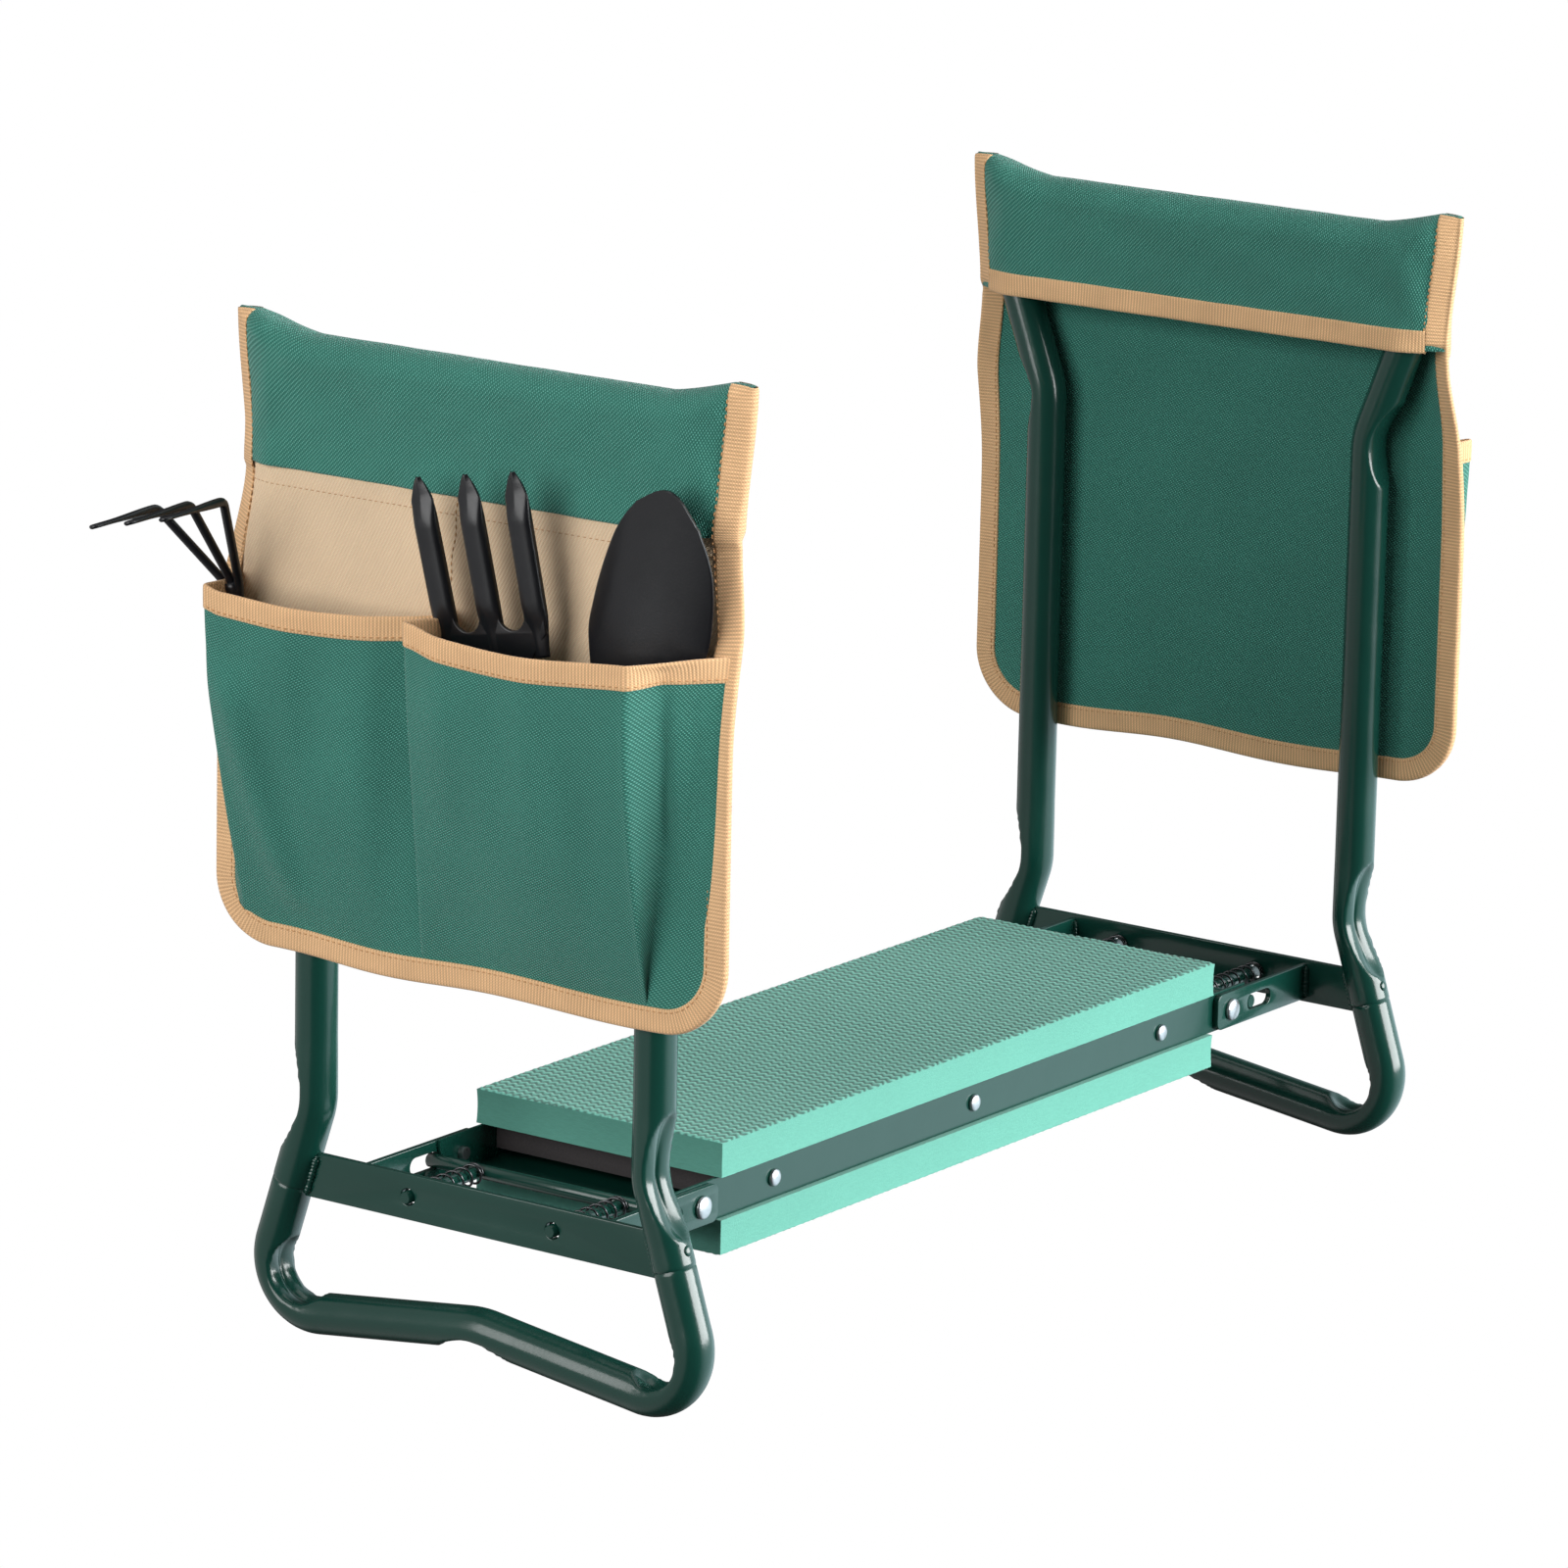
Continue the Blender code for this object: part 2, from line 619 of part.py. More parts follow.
def lock(name, sides, parent):
    """The sprung cross rod that drops into the rail notches, and its guide pins."""
    slide = empty(name + "_lock_slide", parent, Matrix.Translation((LOCK_REST_X, 0, 0)))
    half = LOCK_ROD_HALF_LENGTH
    rod(name + "_lock_rod", (0, -half, 0), (0, half, 0), LOCK_ROD_R, "steel_green", slide)
    pin_start = LOCK_ROD_R + GAP
    pin_end = FRAME_X + CROSSBAR_THICKNESS / 2 + GUIDE_PIN_STICK_OUT - LOCK_REST_X
    spring_start = LOCK_REST_X + LOCK_ROD_R + SPRING_WIRE_R + GAP
    spring_end = FRAME_X - CROSSBAR_THICKNESS / 2 - SPRING_WIRE_R - GAP
    count = SPRING_TURNS * SPRING_POINTS_PER_TURN
    for side, sign in sides:
        y = sign * GUIDE_PIN_Y
        rod("%s_guide_pin_%s" % (name, side), (pin_start, y, 0), (pin_end, y, 0), GUIDE_PIN_R,
            "steel_green", slide)
        coil = []
        for i in range(count + 1):
            turn = 2.0 * math.pi * i / SPRING_POINTS_PER_TURN
            x = spring_start + (spring_end - spring_start) * i / count
            coil.append((x, y + SPRING_MEAN_R * math.cos(turn), SPRING_MEAN_R * math.sin(turn)))
        wire("%s_lock_spring_%s" % (name, side), coil, SPRING_WIRE_R, "spring_black", parent, 0)


# ---------------------------------------------------------------- pouches

def pouch_cap(name, parent):
    """The green band and flap: one fold of fabric over the handle's top bar."""
    bar_top = HANDLE_BAR_Z + CAP_INNER_HALF_DEPTH
    outer = PANEL_HALF_WIDTH
    half_stations = (CAP_RISE_START_Y, CAP_TAPER_START_Y, outer)
    stations = [-y for y in reversed(half_stations)] + [0.0, *half_stations]
    arch_steps = 6
    rows = []
    for y in stations:
        spread = max(0.0, abs(y) - CAP_TAPER_START_Y) / (outer - CAP_TAPER_START_Y)
        half = CAP_INNER_HALF_DEPTH + (CAP_EDGE_HALF_DEPTH - CAP_INNER_HALF_DEPTH) * spread
        rise = CAP_CORNER_RISE * max(0.0, abs(y) - CAP_RISE_START_Y) / (outer - CAP_RISE_START_Y)
        top = bar_top + rise
        row = [(FRAME_X + half, y, CAP_BOTTOM_Z)]
        for dx, dz in arc((0, 0), half, 0.0, math.pi, arch_steps):
            row.append((FRAME_X + dx, y, top - half + dz))
        row.append((FRAME_X - half, y, CAP_BOTTOM_Z))
        rows.append(row)
    outward = [list(reversed(row)) for row in rows]
    sheet_solid(name + "_pouch_cap", outward, CAP_WALL, "fabric_green", parent)


def pouch_panel(name, parent):
    """The flat body of the pouch below its cap, round at the bottom corners."""
    top, low, half, r = CAP_BOTTOM_Z - GAP, PANEL_BOTTOM_Z, PANEL_HALF_WIDTH, PANEL_CORNER_R
    edge = [(half, top), (-half, top)]
    edge += arc((-half + r, low + r), r, math.pi, 3 * math.pi / 2, 5)
    edge += arc((half - r, low + r), r, -math.pi / 2, 0.0, 5)
    plate(name + "_pouch_panel", [edge], PANEL_THICKNESS, "fabric_beige", parent,
          Matrix.Translation((PANEL_INNER_X + PANEL_THICKNESS / 2, 0, 0)) @ CROSS_PLANE)


def pocket_rows():
    """Rows of (x, y, z) down the two bellows pockets, from the mouth to the bottom seam."""
    face = PANEL_INNER_X + PANEL_THICKNESS + GAP + POCKET_SEAM_DEPTH
    rows = []
    for fall in POCKET_FALLS:
        fullness = 1.0 - POCKET_FLATTENING * fall ** 1.5
        if fall == 1.0:
            fullness = 0.01
        z = POCKET_MOUTH_Z + (POCKET_BOTTOM_Z - POCKET_MOUTH_Z) * fall
        drift = fall ** 2
        row = []
        for (y, depth), foot_y in zip(POCKET_MOUTH, POCKET_FOOT_Y):
            row.append((face + depth * fullness, y + (foot_y - y) * drift, z))
        rows.append(row)
    return rows


def pouch_pockets(name, parent):
    outward = [list(reversed(row)) for row in pocket_rows()]
    sheet_solid(name + "_pouch_pockets", outward, POCKET_WALL, "fabric_green", parent)


def pouch(name, parent):
    slide = empty(name + "_pouch_lift", parent)
    pouch_cap(name, slide)
    pouch_panel(name, slide)
    pouch_pockets(name, slide)
    return slide


# ---------------------------------------------------------------- hand tools

def tool_axis(name, parent, y, depth, lean_out, lean_y):
    """An empty where the tool crosses the pocket's mouth: +Z up the tool, +X out of the pouch."""
    face = PANEL_INNER_X + PANEL_THICKNESS
    up = Vector((lean_out, lean_y, 1.0)).normalized()
    out = (Vector((1, 0, 0)) - up * up.x).normalized()
    across = up.cross(out)
    turn = Matrix((out, across, up)).transposed().to_4x4()
    return empty(name + "_slide", parent, Matrix.Translation((face + depth, y, POCKET_MOUTH_Z)) @ turn)


def tool_handle(name, axis):
    """A turned grip with a socket for the tool's tang."""
    top, low = HANDLE_TOP_T, HANDLE_TOP_T - HANDLE_LENGTH
    bore = TANG_R + TANG_CLEARANCE
    profile = [
        (0.0, top - TANG_DEPTH),
        (bore, top - TANG_DEPTH),
        (bore, top),
        (HANDLE_R * 0.8, top),
        (HANDLE_R, top - HANDLE_LENGTH * 0.05),
        (HANDLE_R * 0.93, top - HANDLE_LENGTH * 0.4),
        (HANDLE_R * 0.97, top - HANDLE_LENGTH * 0.7),
        (HANDLE_END_R, low + HANDLE_LENGTH * 0.05),
        (HANDLE_END_R * 0.6, low),
        (0.0, low),
    ]
    turned(name + "_handle", profile, "grip_green", axis)


def tang(name, axis, top):
    """The round shank that runs up from the handle's socket into the tool's head."""
    low = HANDLE_TOP_T - TANG_DEPTH + GAP
    return rod(name + "_tang", (0, 0, low), (0, 0, top), TANG_R, "tool_black", axis)


def cultivator(parent):
    """Three round tines that rise from the shank and hook outwards."""
    axis = tool_axis("cultivator", parent, -0.127, 0.015, 0.05, -0.22)
    head = tang("cultivator", axis, 0.002)
    head.name = "cultivator_head"
    for i, spread in enumerate((-TINE_SPREAD, 0.0, TINE_SPREAD)):
        path = filleted([
            (0.0, spread * 0.1, -0.010),
            (0.0, spread * 0.3, 0.001),
            (TINE_TOP_OUT, spread, TINE_TOP_T),
            (TINE_TIP_OUT, spread * 1.05, TINE_TIP_T),
        ], (0.012, 0.006), 30)
        tine = as_mesh(wire("tine_%d" % (i + 1), path, TINE_R, "tool_black", axis))
        boolean(head, tine, "UNION")
    tool_handle("cultivator", axis)


def fork(parent):
    """A flat three-tined head on a shank, with round roots between the tines."""
    axis = tool_axis("fork", parent, 0.025, 0.017, 0.08, -0.18)
    half, pitch = FORK_TINE_HALF_WIDTH, FORK_PITCH
    right = [(0.0, FORK_TIP_T), (half, FORK_SHOULDER_T)]
    right += arc((pitch / 2, FORK_WEB_T), pitch / 2 - half, math.pi, 2 * math.pi, 6)
    right += [
        (pitch - half, FORK_SHOULDER_T),
        (pitch, FORK_TIP_T),
        (pitch + half, FORK_SHOULDER_T),
        (pitch + half, -0.002),
        (pitch - half, -0.014),
        (0.009, -0.022),
        (0.0045, -0.030),
    ]
    outline = right + [(-y, z) for y, z in reversed(right[1:])]
    flat = plate("fork_head", [outline], FORK_THICKNESS, "tool_black", axis, CROSS_PLANE)
    head = as_mesh(flat)
    boolean(head, tang("fork", axis, -0.016), "UNION")
    tool_handle("fork", axis)


def trowel(parent):
    """A pointed blade, bent round the tool's axis, on a shank."""
    axis = tool_axis("trowel", parent, 0.100, 0.0125, 0.03, 0.276)
    rows = []
    for drop, half_width in reversed(TROWEL_OUTLINE):
        row = []
        for i in range(-3, 4):
            swing = i / 3 * half_width / TROWEL_BEND_R
            x = TROWEL_BEND_R * (math.cos(swing) - 1.0)
            row.append((x, TROWEL_BEND_R * math.sin(swing), TROWEL_TIP_T - drop))
        rows.append(row)
    head = sheet_solid("trowel_head", rows, TROWEL_THICKNESS, "tool_black", axis)
    boolean(head, tang("trowel", axis, -0.018), "UNION")
    tool_handle("trowel", axis)


# ---------------------------------------------------------------- assembly

def end_frame(name, x, turn, root):
    """Everything that folds at one end. Turned half round, its local +Y is the seat's front."""
    axis = empty(name + "_fold_axis", root, Matrix.Translation((x, 0, 0)) @ Matrix.Rotation(turn, 4, "Z"))
    front = 1.0 if turn else -1.0
    sides = (("front", front), ("back", -front))
    frame_tubes(name, sides, axis)
    crossbar(name, axis)
    for side, sign in sides:
        ear("%s_ear_%s" % (name, side), sign, axis)
    lock(name, sides, axis)
    return pouch(name, axis)


def kneeler():
    root = empty("kneeler_root", None, Matrix.Translation((0, 0, RAIL_Z)))
    seat(root)
    end_frame("right", PIVOT_X, 0.0, root)
    left_pouch = end_frame("left", -PIVOT_X, math.pi, root)
    cultivator(left_pouch)
    fork(left_pouch)
    trowel(left_pouch)


kneeler()
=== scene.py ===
import json
import math

import bmesh
import bpy
import numpy as np
from mathutils import Matrix, Vector


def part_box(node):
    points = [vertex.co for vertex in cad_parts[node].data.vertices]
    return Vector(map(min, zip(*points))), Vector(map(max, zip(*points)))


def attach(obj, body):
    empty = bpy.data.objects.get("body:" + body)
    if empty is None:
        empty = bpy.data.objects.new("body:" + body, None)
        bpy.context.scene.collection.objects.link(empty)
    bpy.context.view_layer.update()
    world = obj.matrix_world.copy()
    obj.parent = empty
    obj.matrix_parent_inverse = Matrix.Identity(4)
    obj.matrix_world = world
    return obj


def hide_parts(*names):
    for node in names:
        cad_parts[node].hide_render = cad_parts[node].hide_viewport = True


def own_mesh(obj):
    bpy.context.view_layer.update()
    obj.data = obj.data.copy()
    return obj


# The looks of a garden kneeler seat: steel tube end frames, foam pads, fabric pouches and hand tools.
# Each end frame is built in its own coordinates: the origin is on its pivot axis, +X points away from
# the seat and +Z up. The left frame is the same one turned half a turn about Z.

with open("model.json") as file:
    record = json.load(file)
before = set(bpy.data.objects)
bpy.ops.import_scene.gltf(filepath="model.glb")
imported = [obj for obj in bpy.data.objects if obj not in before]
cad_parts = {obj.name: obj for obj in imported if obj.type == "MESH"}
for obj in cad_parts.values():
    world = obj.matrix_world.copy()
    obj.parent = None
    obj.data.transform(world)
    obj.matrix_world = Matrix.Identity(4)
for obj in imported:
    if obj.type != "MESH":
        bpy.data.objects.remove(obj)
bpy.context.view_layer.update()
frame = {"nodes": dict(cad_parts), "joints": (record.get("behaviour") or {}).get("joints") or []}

JOINTS = {joint["name"]: joint for joint in frame["joints"]}
PIVOT_X = JOINTS["right_fold"]["pos_m"][0]
RAIL_Z = JOINTS["right_fold"]["pos_m"][2]
SIDES = {
    "right": Matrix.Translation((PIVOT_X, 0, RAIL_Z)),
    "left": Matrix.Translation((-PIVOT_X, 0, RAIL_Z)) @ Matrix.Rotation(math.pi, 4, "Z"),
}


def local_box(node):
    """A right-hand node's box in the end frame's own coordinates."""
    shift = Vector((PIVOT_X, 0, RAIL_Z))
    low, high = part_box("right_" + node)
    return low - shift, high - shift


def smoothstep(x):
    x = np.clip(x, 0.0, 1.0)
    return x * x * (3.0 - 2.0 * x)


# ---------------------------------------------------------------- driving dimensions

HANDLE_LOW, HANDLE_HIGH = local_box("handle_tube")
TUBE_R = (HANDLE_HIGH.x - HANDLE_LOW.x) / 2
FRAME_X = (HANDLE_HIGH.x + HANDLE_LOW.x) / 2
BAR_Z = HANDLE_HIGH.z - TUBE_R
SEAM_Z = -0.005
SPIGOT_R = 0.0084
UPRIGHT_Y = 0.098
LOWER_BEND_Z = 0.035
UPPER_BEND_Z = 0.288
HANDLE_CORNER_Y = 0.1346
FOOT_CORNER = (0.1327, -0.072)
FOOT_MIDDLE_Z = -0.055
GUIDE_PIN_Y = 0.042
GUIDE_PIN_R = 0.003

PANEL_LOW, PANEL_HIGH = local_box("pouch_panel")
HALF_WIDTH = PANEL_HIGH.y
PANEL_FACE = PANEL_HIGH.x
PANEL_BOTTOM = PANEL_LOW.z
SEAM_TOP = PANEL_HIGH.z
PANEL_CORNER_R = 0.032
CAP_TOP = local_box("pouch_cap")[1].z
POCKET_MOUTH = local_box("pouch_pockets")[1].z
TAPE_WIDTH = 0.0105
ROW_PITCH, ROW_SKEW = 0.0051, -0.083
WAVE_PITCH, WAVE_SKEW, WAVE_REACH = 0.0045, -0.3, 1.25


# ---------------------------------------------------------------- materials

def add_node(tree, kind, inputs=None, **settings):
    """A node with its settings and inputs; an input may be a value or another node's output."""
    made = tree.nodes.new("ShaderNode" + kind)
    for key, value in settings.items():
        setattr(made, key, value)
    for key, value in (inputs or {}).items():
        if isinstance(value, bpy.types.NodeSocket):
            tree.links.new(value, made.inputs[key])
        else:
            made.inputs[key].default_value = value
    return made


class Shader:
    """A Principled material with a few nodes, built in the order they are added."""

    def __init__(self, name, colour, roughness, **sockets):
        self.material = bpy.data.materials.new(name)
        self.material.use_nodes = True
        self.tree = self.material.node_tree
        self.out = self.tree.nodes["Principled BSDF"]
        self.colour = colour
        self.set("Base Color", (*colour, 1.0))
        self.set("Roughness", roughness)
        for key, value in sockets.items():
            self.set(key.replace("_", " "), value)

    def set(self, socket, value):
        self.out.inputs[socket].default_value = value

    def add(self, kind, inputs=None, **settings):
        return add_node(self.tree, kind, inputs, **settings)

    def math(self, operation, a, b=0.0, c=0.0):
        return self.add("Math", {0: a, 1: b, 2: c}, operation=operation).outputs[0]

    def place(self, flat=False):
        """Position over the surface: metres of cloth from the UV map, or the piece's own space."""
        return self.add("TexCoord").outputs["UV" if flat else "Object"]

    def noise(self, vector, scale, detail=2.0, roughness=0.5):
        inputs = {"Vector": vector, "Scale": scale, "Detail": detail, "Roughness": roughness}
        return self.add("TexNoise", inputs).outputs["Fac"]

    def vary(self, share, low, high):
        """Scales the colour by a tone that runs from low to high as share goes from 0 to 1."""
        ramp = self.add("MapRange", {"Value": share, "To Min": low, "To Max": high}).outputs[0]
        mix = self.add("VectorMath", {0: self.colour_link(), "Scale": ramp}, operation="SCALE")
        self.tree.links.new(mix.outputs[0], self.out.inputs["Base Color"])
        return self

    def colour_link(self):
        links = self.out.inputs["Base Color"].links
        if links:
            return links[0].from_socket
        rgb = self.add("RGB")
        rgb.outputs[0].default_value = (*self.colour, 1.0)
        return rgb.outputs[0]

    def tint(self, share, colour):
        """Mixes another colour in by share."""
        mix = self.add("Mix", {0: share, 6: self.colour_link(), 7: (*colour, 1.0)}, data_type="RGBA")
        self.tree.links.new(mix.outputs[2], self.out.inputs["Base Color"])
        return self

    def rough(self, share, low, high):
        ramp = self.add("MapRange", {"Value": share, "To Min": low, "To Max": high}).outputs[0]
        self.tree.links.new(ramp, self.out.inputs["Roughness"])
        return self

    def bump(self, height, distance, strength=1.0):
        """Raises the surface by height times distance, on top of any bump already there."""
        inputs = {"Height": height, "Distance": distance, "Strength": strength}
        if self.out.inputs["Normal"].links:
            inputs["Normal"] = self.out.inputs["Normal"].links[0].from_socket
        made = self.add("Bump", inputs)
        self.tree.links.new(made.outputs[0], self.out.inputs["Normal"])
        return self


def weave(shader, vector, pitch, skew=0.0):
    """A plain weave's height from 0 to 1: threads that pass over and under each other."""
    closer_weft = (1.0, 1.35, 1.0)
    vector = shader.add("Mapping", {"Vector": vector, "Scale": closer_weft}).outputs[0]
    split = shader.add("SeparateXYZ", {0: vector})
    across, along = split.outputs[0], split.outputs[1]
    if skew:
        across = shader.math("ADD", across, shader.math("MULTIPLY", along, skew))
    first = shader.math("SINE", shader.math("MULTIPLY", across, math.pi / pitch))
    second = shader.math("SINE", shader.math("MULTIPLY", along, math.pi / pitch))
    product = shader.math("MULTIPLY", first, second)
    over = shader.math("MULTIPLY_ADD", product, 0.5, 0.5)
    thread = shader.math("ABSOLUTE", second)
    weft = shader.math("ABSOLUTE", first)
    round_threads = shader.math("ADD", shader.math("MINIMUM", thread, weft), 0.15)
    return shader.math("MULTIPLY", over, shader.math("POWER", round_threads, 0.4))


def uneven(name, colour, roughness, tone, gloss=None, bumps=(), **sockets):
    """A plain material that is slightly uneven. tone and gloss are (noise scale, detail, low, high)
    and each bump is (noise scale, detail, distance, strength)."""
    made = Shader(name, colour, roughness, **sockets)
    place = made.place()
    made.vary(made.noise(place, *tone[:2]), *tone[2:])
    if gloss:
        made.rough(made.noise(place, *gloss[:2]), *gloss[2:])
    for scale, detail, distance, strength in bumps:
        made.bump(made.noise(place, scale, detail), distance, strength)
    return made.material


def pits(shader, vector):
    """The pads' embossed pattern from 0, in its pits, to 1 on its raised wavy rows; it paints shade into
    the foam's pits.
    """
    split = shader.add("SeparateXYZ", {0: vector})
    x, y = split.outputs[0], split.outputs[1]
    row = shader.math("MULTIPLY_ADD", y, ROW_SKEW, x)
    row = shader.math("MULTIPLY", row, 2.0 * math.pi / ROW_PITCH)
    wave = shader.math("MULTIPLY_ADD", x, WAVE_SKEW, y)
    wave = shader.math("MULTIPLY", wave, 2.0 * math.pi / WAVE_PITCH)
    turn = shader.math("MULTIPLY_ADD", shader.math("SINE", wave), WAVE_REACH, row)
    return shader.math("MULTIPLY_ADD", shader.math("COSINE", turn), 0.5, 0.5)


def foam(top):
    """Closed foam: pitted on its top, with painted shade in the pits and painted light on the rows
    between them, and painted shade on its ends.
    """
    name = "green_foam" + ("_top" if top else "")
    made = Shader(name, (0.115, 0.36, 0.29), 0.85, Specular_IOR_Level=0.25, Sheen_Weight=0.15)
    place = made.place()
    made.vary(made.noise(place, 14.0, 4.0), 0.93, 1.07)
    if top:
        # Painted shade in the pits and painted highlight on the raised rows.
        made.vary(pits(made, place), 0.40, 1.42)
    else:
        # Painted shade: faces that point along X, the pad's ends, are made darker than its sides.
        end_shade_facing = made.add("SeparateXYZ", {0: made.add("TexCoord").outputs["Normal"]}).outputs[0]
        made.vary(made.math("ABSOLUTE", end_shade_facing), 1.08, 0.74)
    stretched = made.add("Mapping", {"Vector": place, "Scale": (0.25, 0.25, 1.0)}).outputs[0]
    streaks = made.noise(stretched, 900.0, 2.0, 0.7)
    made.vary(streaks, 0.88, 1.12)
    made.bump(made.noise(place, 1500.0, 2.0, 0.7), 0.0003, 0.5)
    made.bump(streaks, 0.0003, 0.35)
    return made.material


def board():
    """Dark board with fibres along it."""
    made = Shader("dark_board", (0.022, 0.018, 0.019), 0.75)
    place = made.place()
    grain = made.add("Mapping", {"Vector": place, "Scale": (0.15, 1.0, 1.0)}).outputs[0]
    fibres = made.noise(grain, 700.0, 4.0, 0.7)
    made.vary(fibres, 0.6, 1.6)
    made.bump(fibres, 0.0004, 0.6)
    return made.material


def fabric(name, colour, crown_highlight, pitch, skew=0.0, sheen=0.25):
    """Woven polyester with a painted highlight on its thread crowns over a darker base, slightly uneven
    over the cloth.
    """
    made = Shader(name, colour, 0.62, Specular_IOR_Level=0.35, Sheen_Weight=sheen, Sheen_Roughness=0.4)
    flat = made.place(flat=True)
    height = weave(made, flat, pitch, skew)
    # Painted highlight on the thread crowns, painted shade between them.
    made.tint(made.math("POWER", height, 2.2), crown_highlight)
    made.vary(made.noise(flat, 22.0, 3.0), 0.88, 1.12)
    fibre = made.noise(flat, 1400.0, 2.0)
    made.vary(fibre, 0.88, 1.12)
    made.bump(height, 0.0005, 0.9)
    made.bump(fibre, 0.00015, 0.4)
    return made.material


def webbing():
    """Ribbed tape: ribs across it with fine threads over them, with painted shade between the ribs and a
    painted highlight on the thread crowns. U runs along the tape.
    """
    sockets = dict(Specular_IOR_Level=0.3, Sheen_Weight=0.3, Sheen_Roughness=0.4)
    made = Shader("beige_webbing", (0.63, 0.37, 0.18), 0.7, **sockets)
    flat = made.place(flat=True)
    rib_pitch = 0.0017
    height = weave(made, flat, rib_pitch / 2)
    along = made.add("SeparateXYZ", {0: flat}).outputs[0]
    rib = made.math("SINE", made.math("MULTIPLY", along, 2.0 * math.pi / rib_pitch))
    rib = made.math("MULTIPLY_ADD", rib, 0.5, 0.5)
    # Painted highlight on the thread crowns.
    made.tint(made.math("MULTIPLY", height, 0.65), (0.93, 0.63, 0.37))
    # Painted shade in the grooves between the ribs and painted light on their crests.
    made.vary(rib, 0.80, 1.18)
    made.bump(rib, 0.00025, 0.5)
    made.vary(made.noise(flat, 60.0, 3.0), 0.86, 1.14)
    fibre = made.noise(flat, 1800.0, 2.0)
    made.vary(fibre, 0.9, 1.1)
    made.bump(height, 0.0002, 0.6)
    made.bump(fibre, 0.00006, 0.4)
    return made.material


STEEL = uneven(
    "green_painted_steel", (0.0038, 0.041, 0.030), 0.24,
    tone=(9.0, 4.0, 0.82, 1.18),
    gloss=(60.0, 3.0, 0.16, 0.3),
    bumps=((420.0, 1.0, 0.00012, 0.35), (45.0, 1.0, 0.0006, 0.25)),
    Coat_Weight=0.2, Coat_Roughness=0.08, Specular_IOR_Level=0.4,
)
FOAM = foam(False)
FOAM_TOP = foam(True)
BOARD = board()
ZINC = uneven(
    "zinc_rivet", (0.50, 0.51, 0.53), 0.32,
    tone=(500.0, 3.0, 0.8, 1.08),
    gloss=(350.0, 3.0, 0.2, 0.42),
    bumps=((420.0, 2.0, 0.0004, 0.6),),
    Metallic=1.0,
)
GREEN = fabric("green_fabric", (0.007, 0.125, 0.090), (0.15, 0.50, 0.41), 0.00105, 0.25)
BEIGE = fabric("beige_fabric", (0.80, 0.57, 0.365), (1.0, 0.88, 0.64), 0.0009, 0.6, 0.1)
WEBBING = webbing()
THREAD = uneven(
    "orange_thread", (0.50, 0.25, 0.085), 0.6,
    tone=(900.0, 2.0, 0.8, 1.2),
    bumps=((2500.0, 1.0, 0.0001, 0.5),),
    Sheen_Weight=0.3,
)
BLACK = uneven(
    "black_tool_steel", (0.0048, 0.0052, 0.007), 0.36,
    tone=(40.0, 4.0, 0.75, 1.3),
    gloss=(120.0, 3.0, 0.3, 0.42),
    bumps=((900.0, 2.0, 0.00012, 0.4),),
    Coat_Weight=0.12, Coat_Roughness=0.2, Specular_IOR_Level=0.35,
)
SPRING = uneven(
    "spring_steel", (0.06, 0.062, 0.065), 0.22,
    tone=(200.0, 3.0, 0.7, 1.4),
    gloss=(300.0, 2.0, 0.18, 0.35),
    Metallic=0.9,
)
GRIP = uneven(
    "green_grip", (0.012, 0.13, 0.085), 0.5,
    tone=(60.0, 3.0, 0.85, 1.15),
    bumps=((700.0, 2.0, 0.0002, 0.5),),
)


# ---------------------------------------------------------------- mesh helpers

def link(name, mesh, paints, matrix=None):
    made = bpy.data.objects.new(name, mesh)
    bpy.context.scene.collection.objects.link(made)
    if matrix is not None:
        mesh.transform(matrix)
    for paint in paints:
        mesh.materials.append(paint)
    mesh.shade_smooth()
    return made


def grid_faces(rows, columns, around):
    """Each face's row and column, and the numbers of its corners in a grid of points."""
    across = columns if around else columns - 1
    r, c = np.meshgrid(np.arange(rows - 1), np.arange(across), indexing="ij")
    r, c = r.ravel(), c.ravel()
    ahead = (c + 1) % columns
    near, far = r * columns, (r + 1) * columns
    return r, c, np.stack([near + c, near + ahead, far + ahead, far + c], 1)


def surface(name, points, paints, matrix=None, around=False, flat=None):
    """A grid of faces over rows of points. around joins its last column to its first; flat holds UVs."""
    points = np.asarray(points, float)
    rows, columns = points.shape[:2]
    r, c, faces = grid_faces(rows, columns, around)
    mesh = bpy.data.meshes.new(name)
    mesh.from_pydata(points.reshape(-1, 3).tolist(), [], faces.tolist())
    if flat is None:
        flat = lengths_uv(points, around)
    corners = np.stack([flat[r, c], flat[r, c + 1], flat[r + 1, c + 1], flat[r + 1, c]], 1)
    mesh.uv_layers.new(name="flat").data.foreach_set("uv", corners.reshape(-1).astype(np.float32))
    return link(name, mesh, paints, matrix)


def lengths_uv(points, around=False):
    """UVs in metres, from the mean length of the grid's rows and columns."""
    if around:
        points = np.concatenate([points, points[:, :1]], 1)
    across = np.linalg.norm(np.diff(points, axis=1), axis=2).mean(0)
    along = np.linalg.norm(np.diff(points, axis=0), axis=2).mean(1)
    u = np.concatenate([[0.0], np.cumsum(across)])
    v = np.concatenate([[0.0], np.cumsum(along)])
    return np.stack(np.broadcast_arrays(u[None, :], v[:, None]), 2)


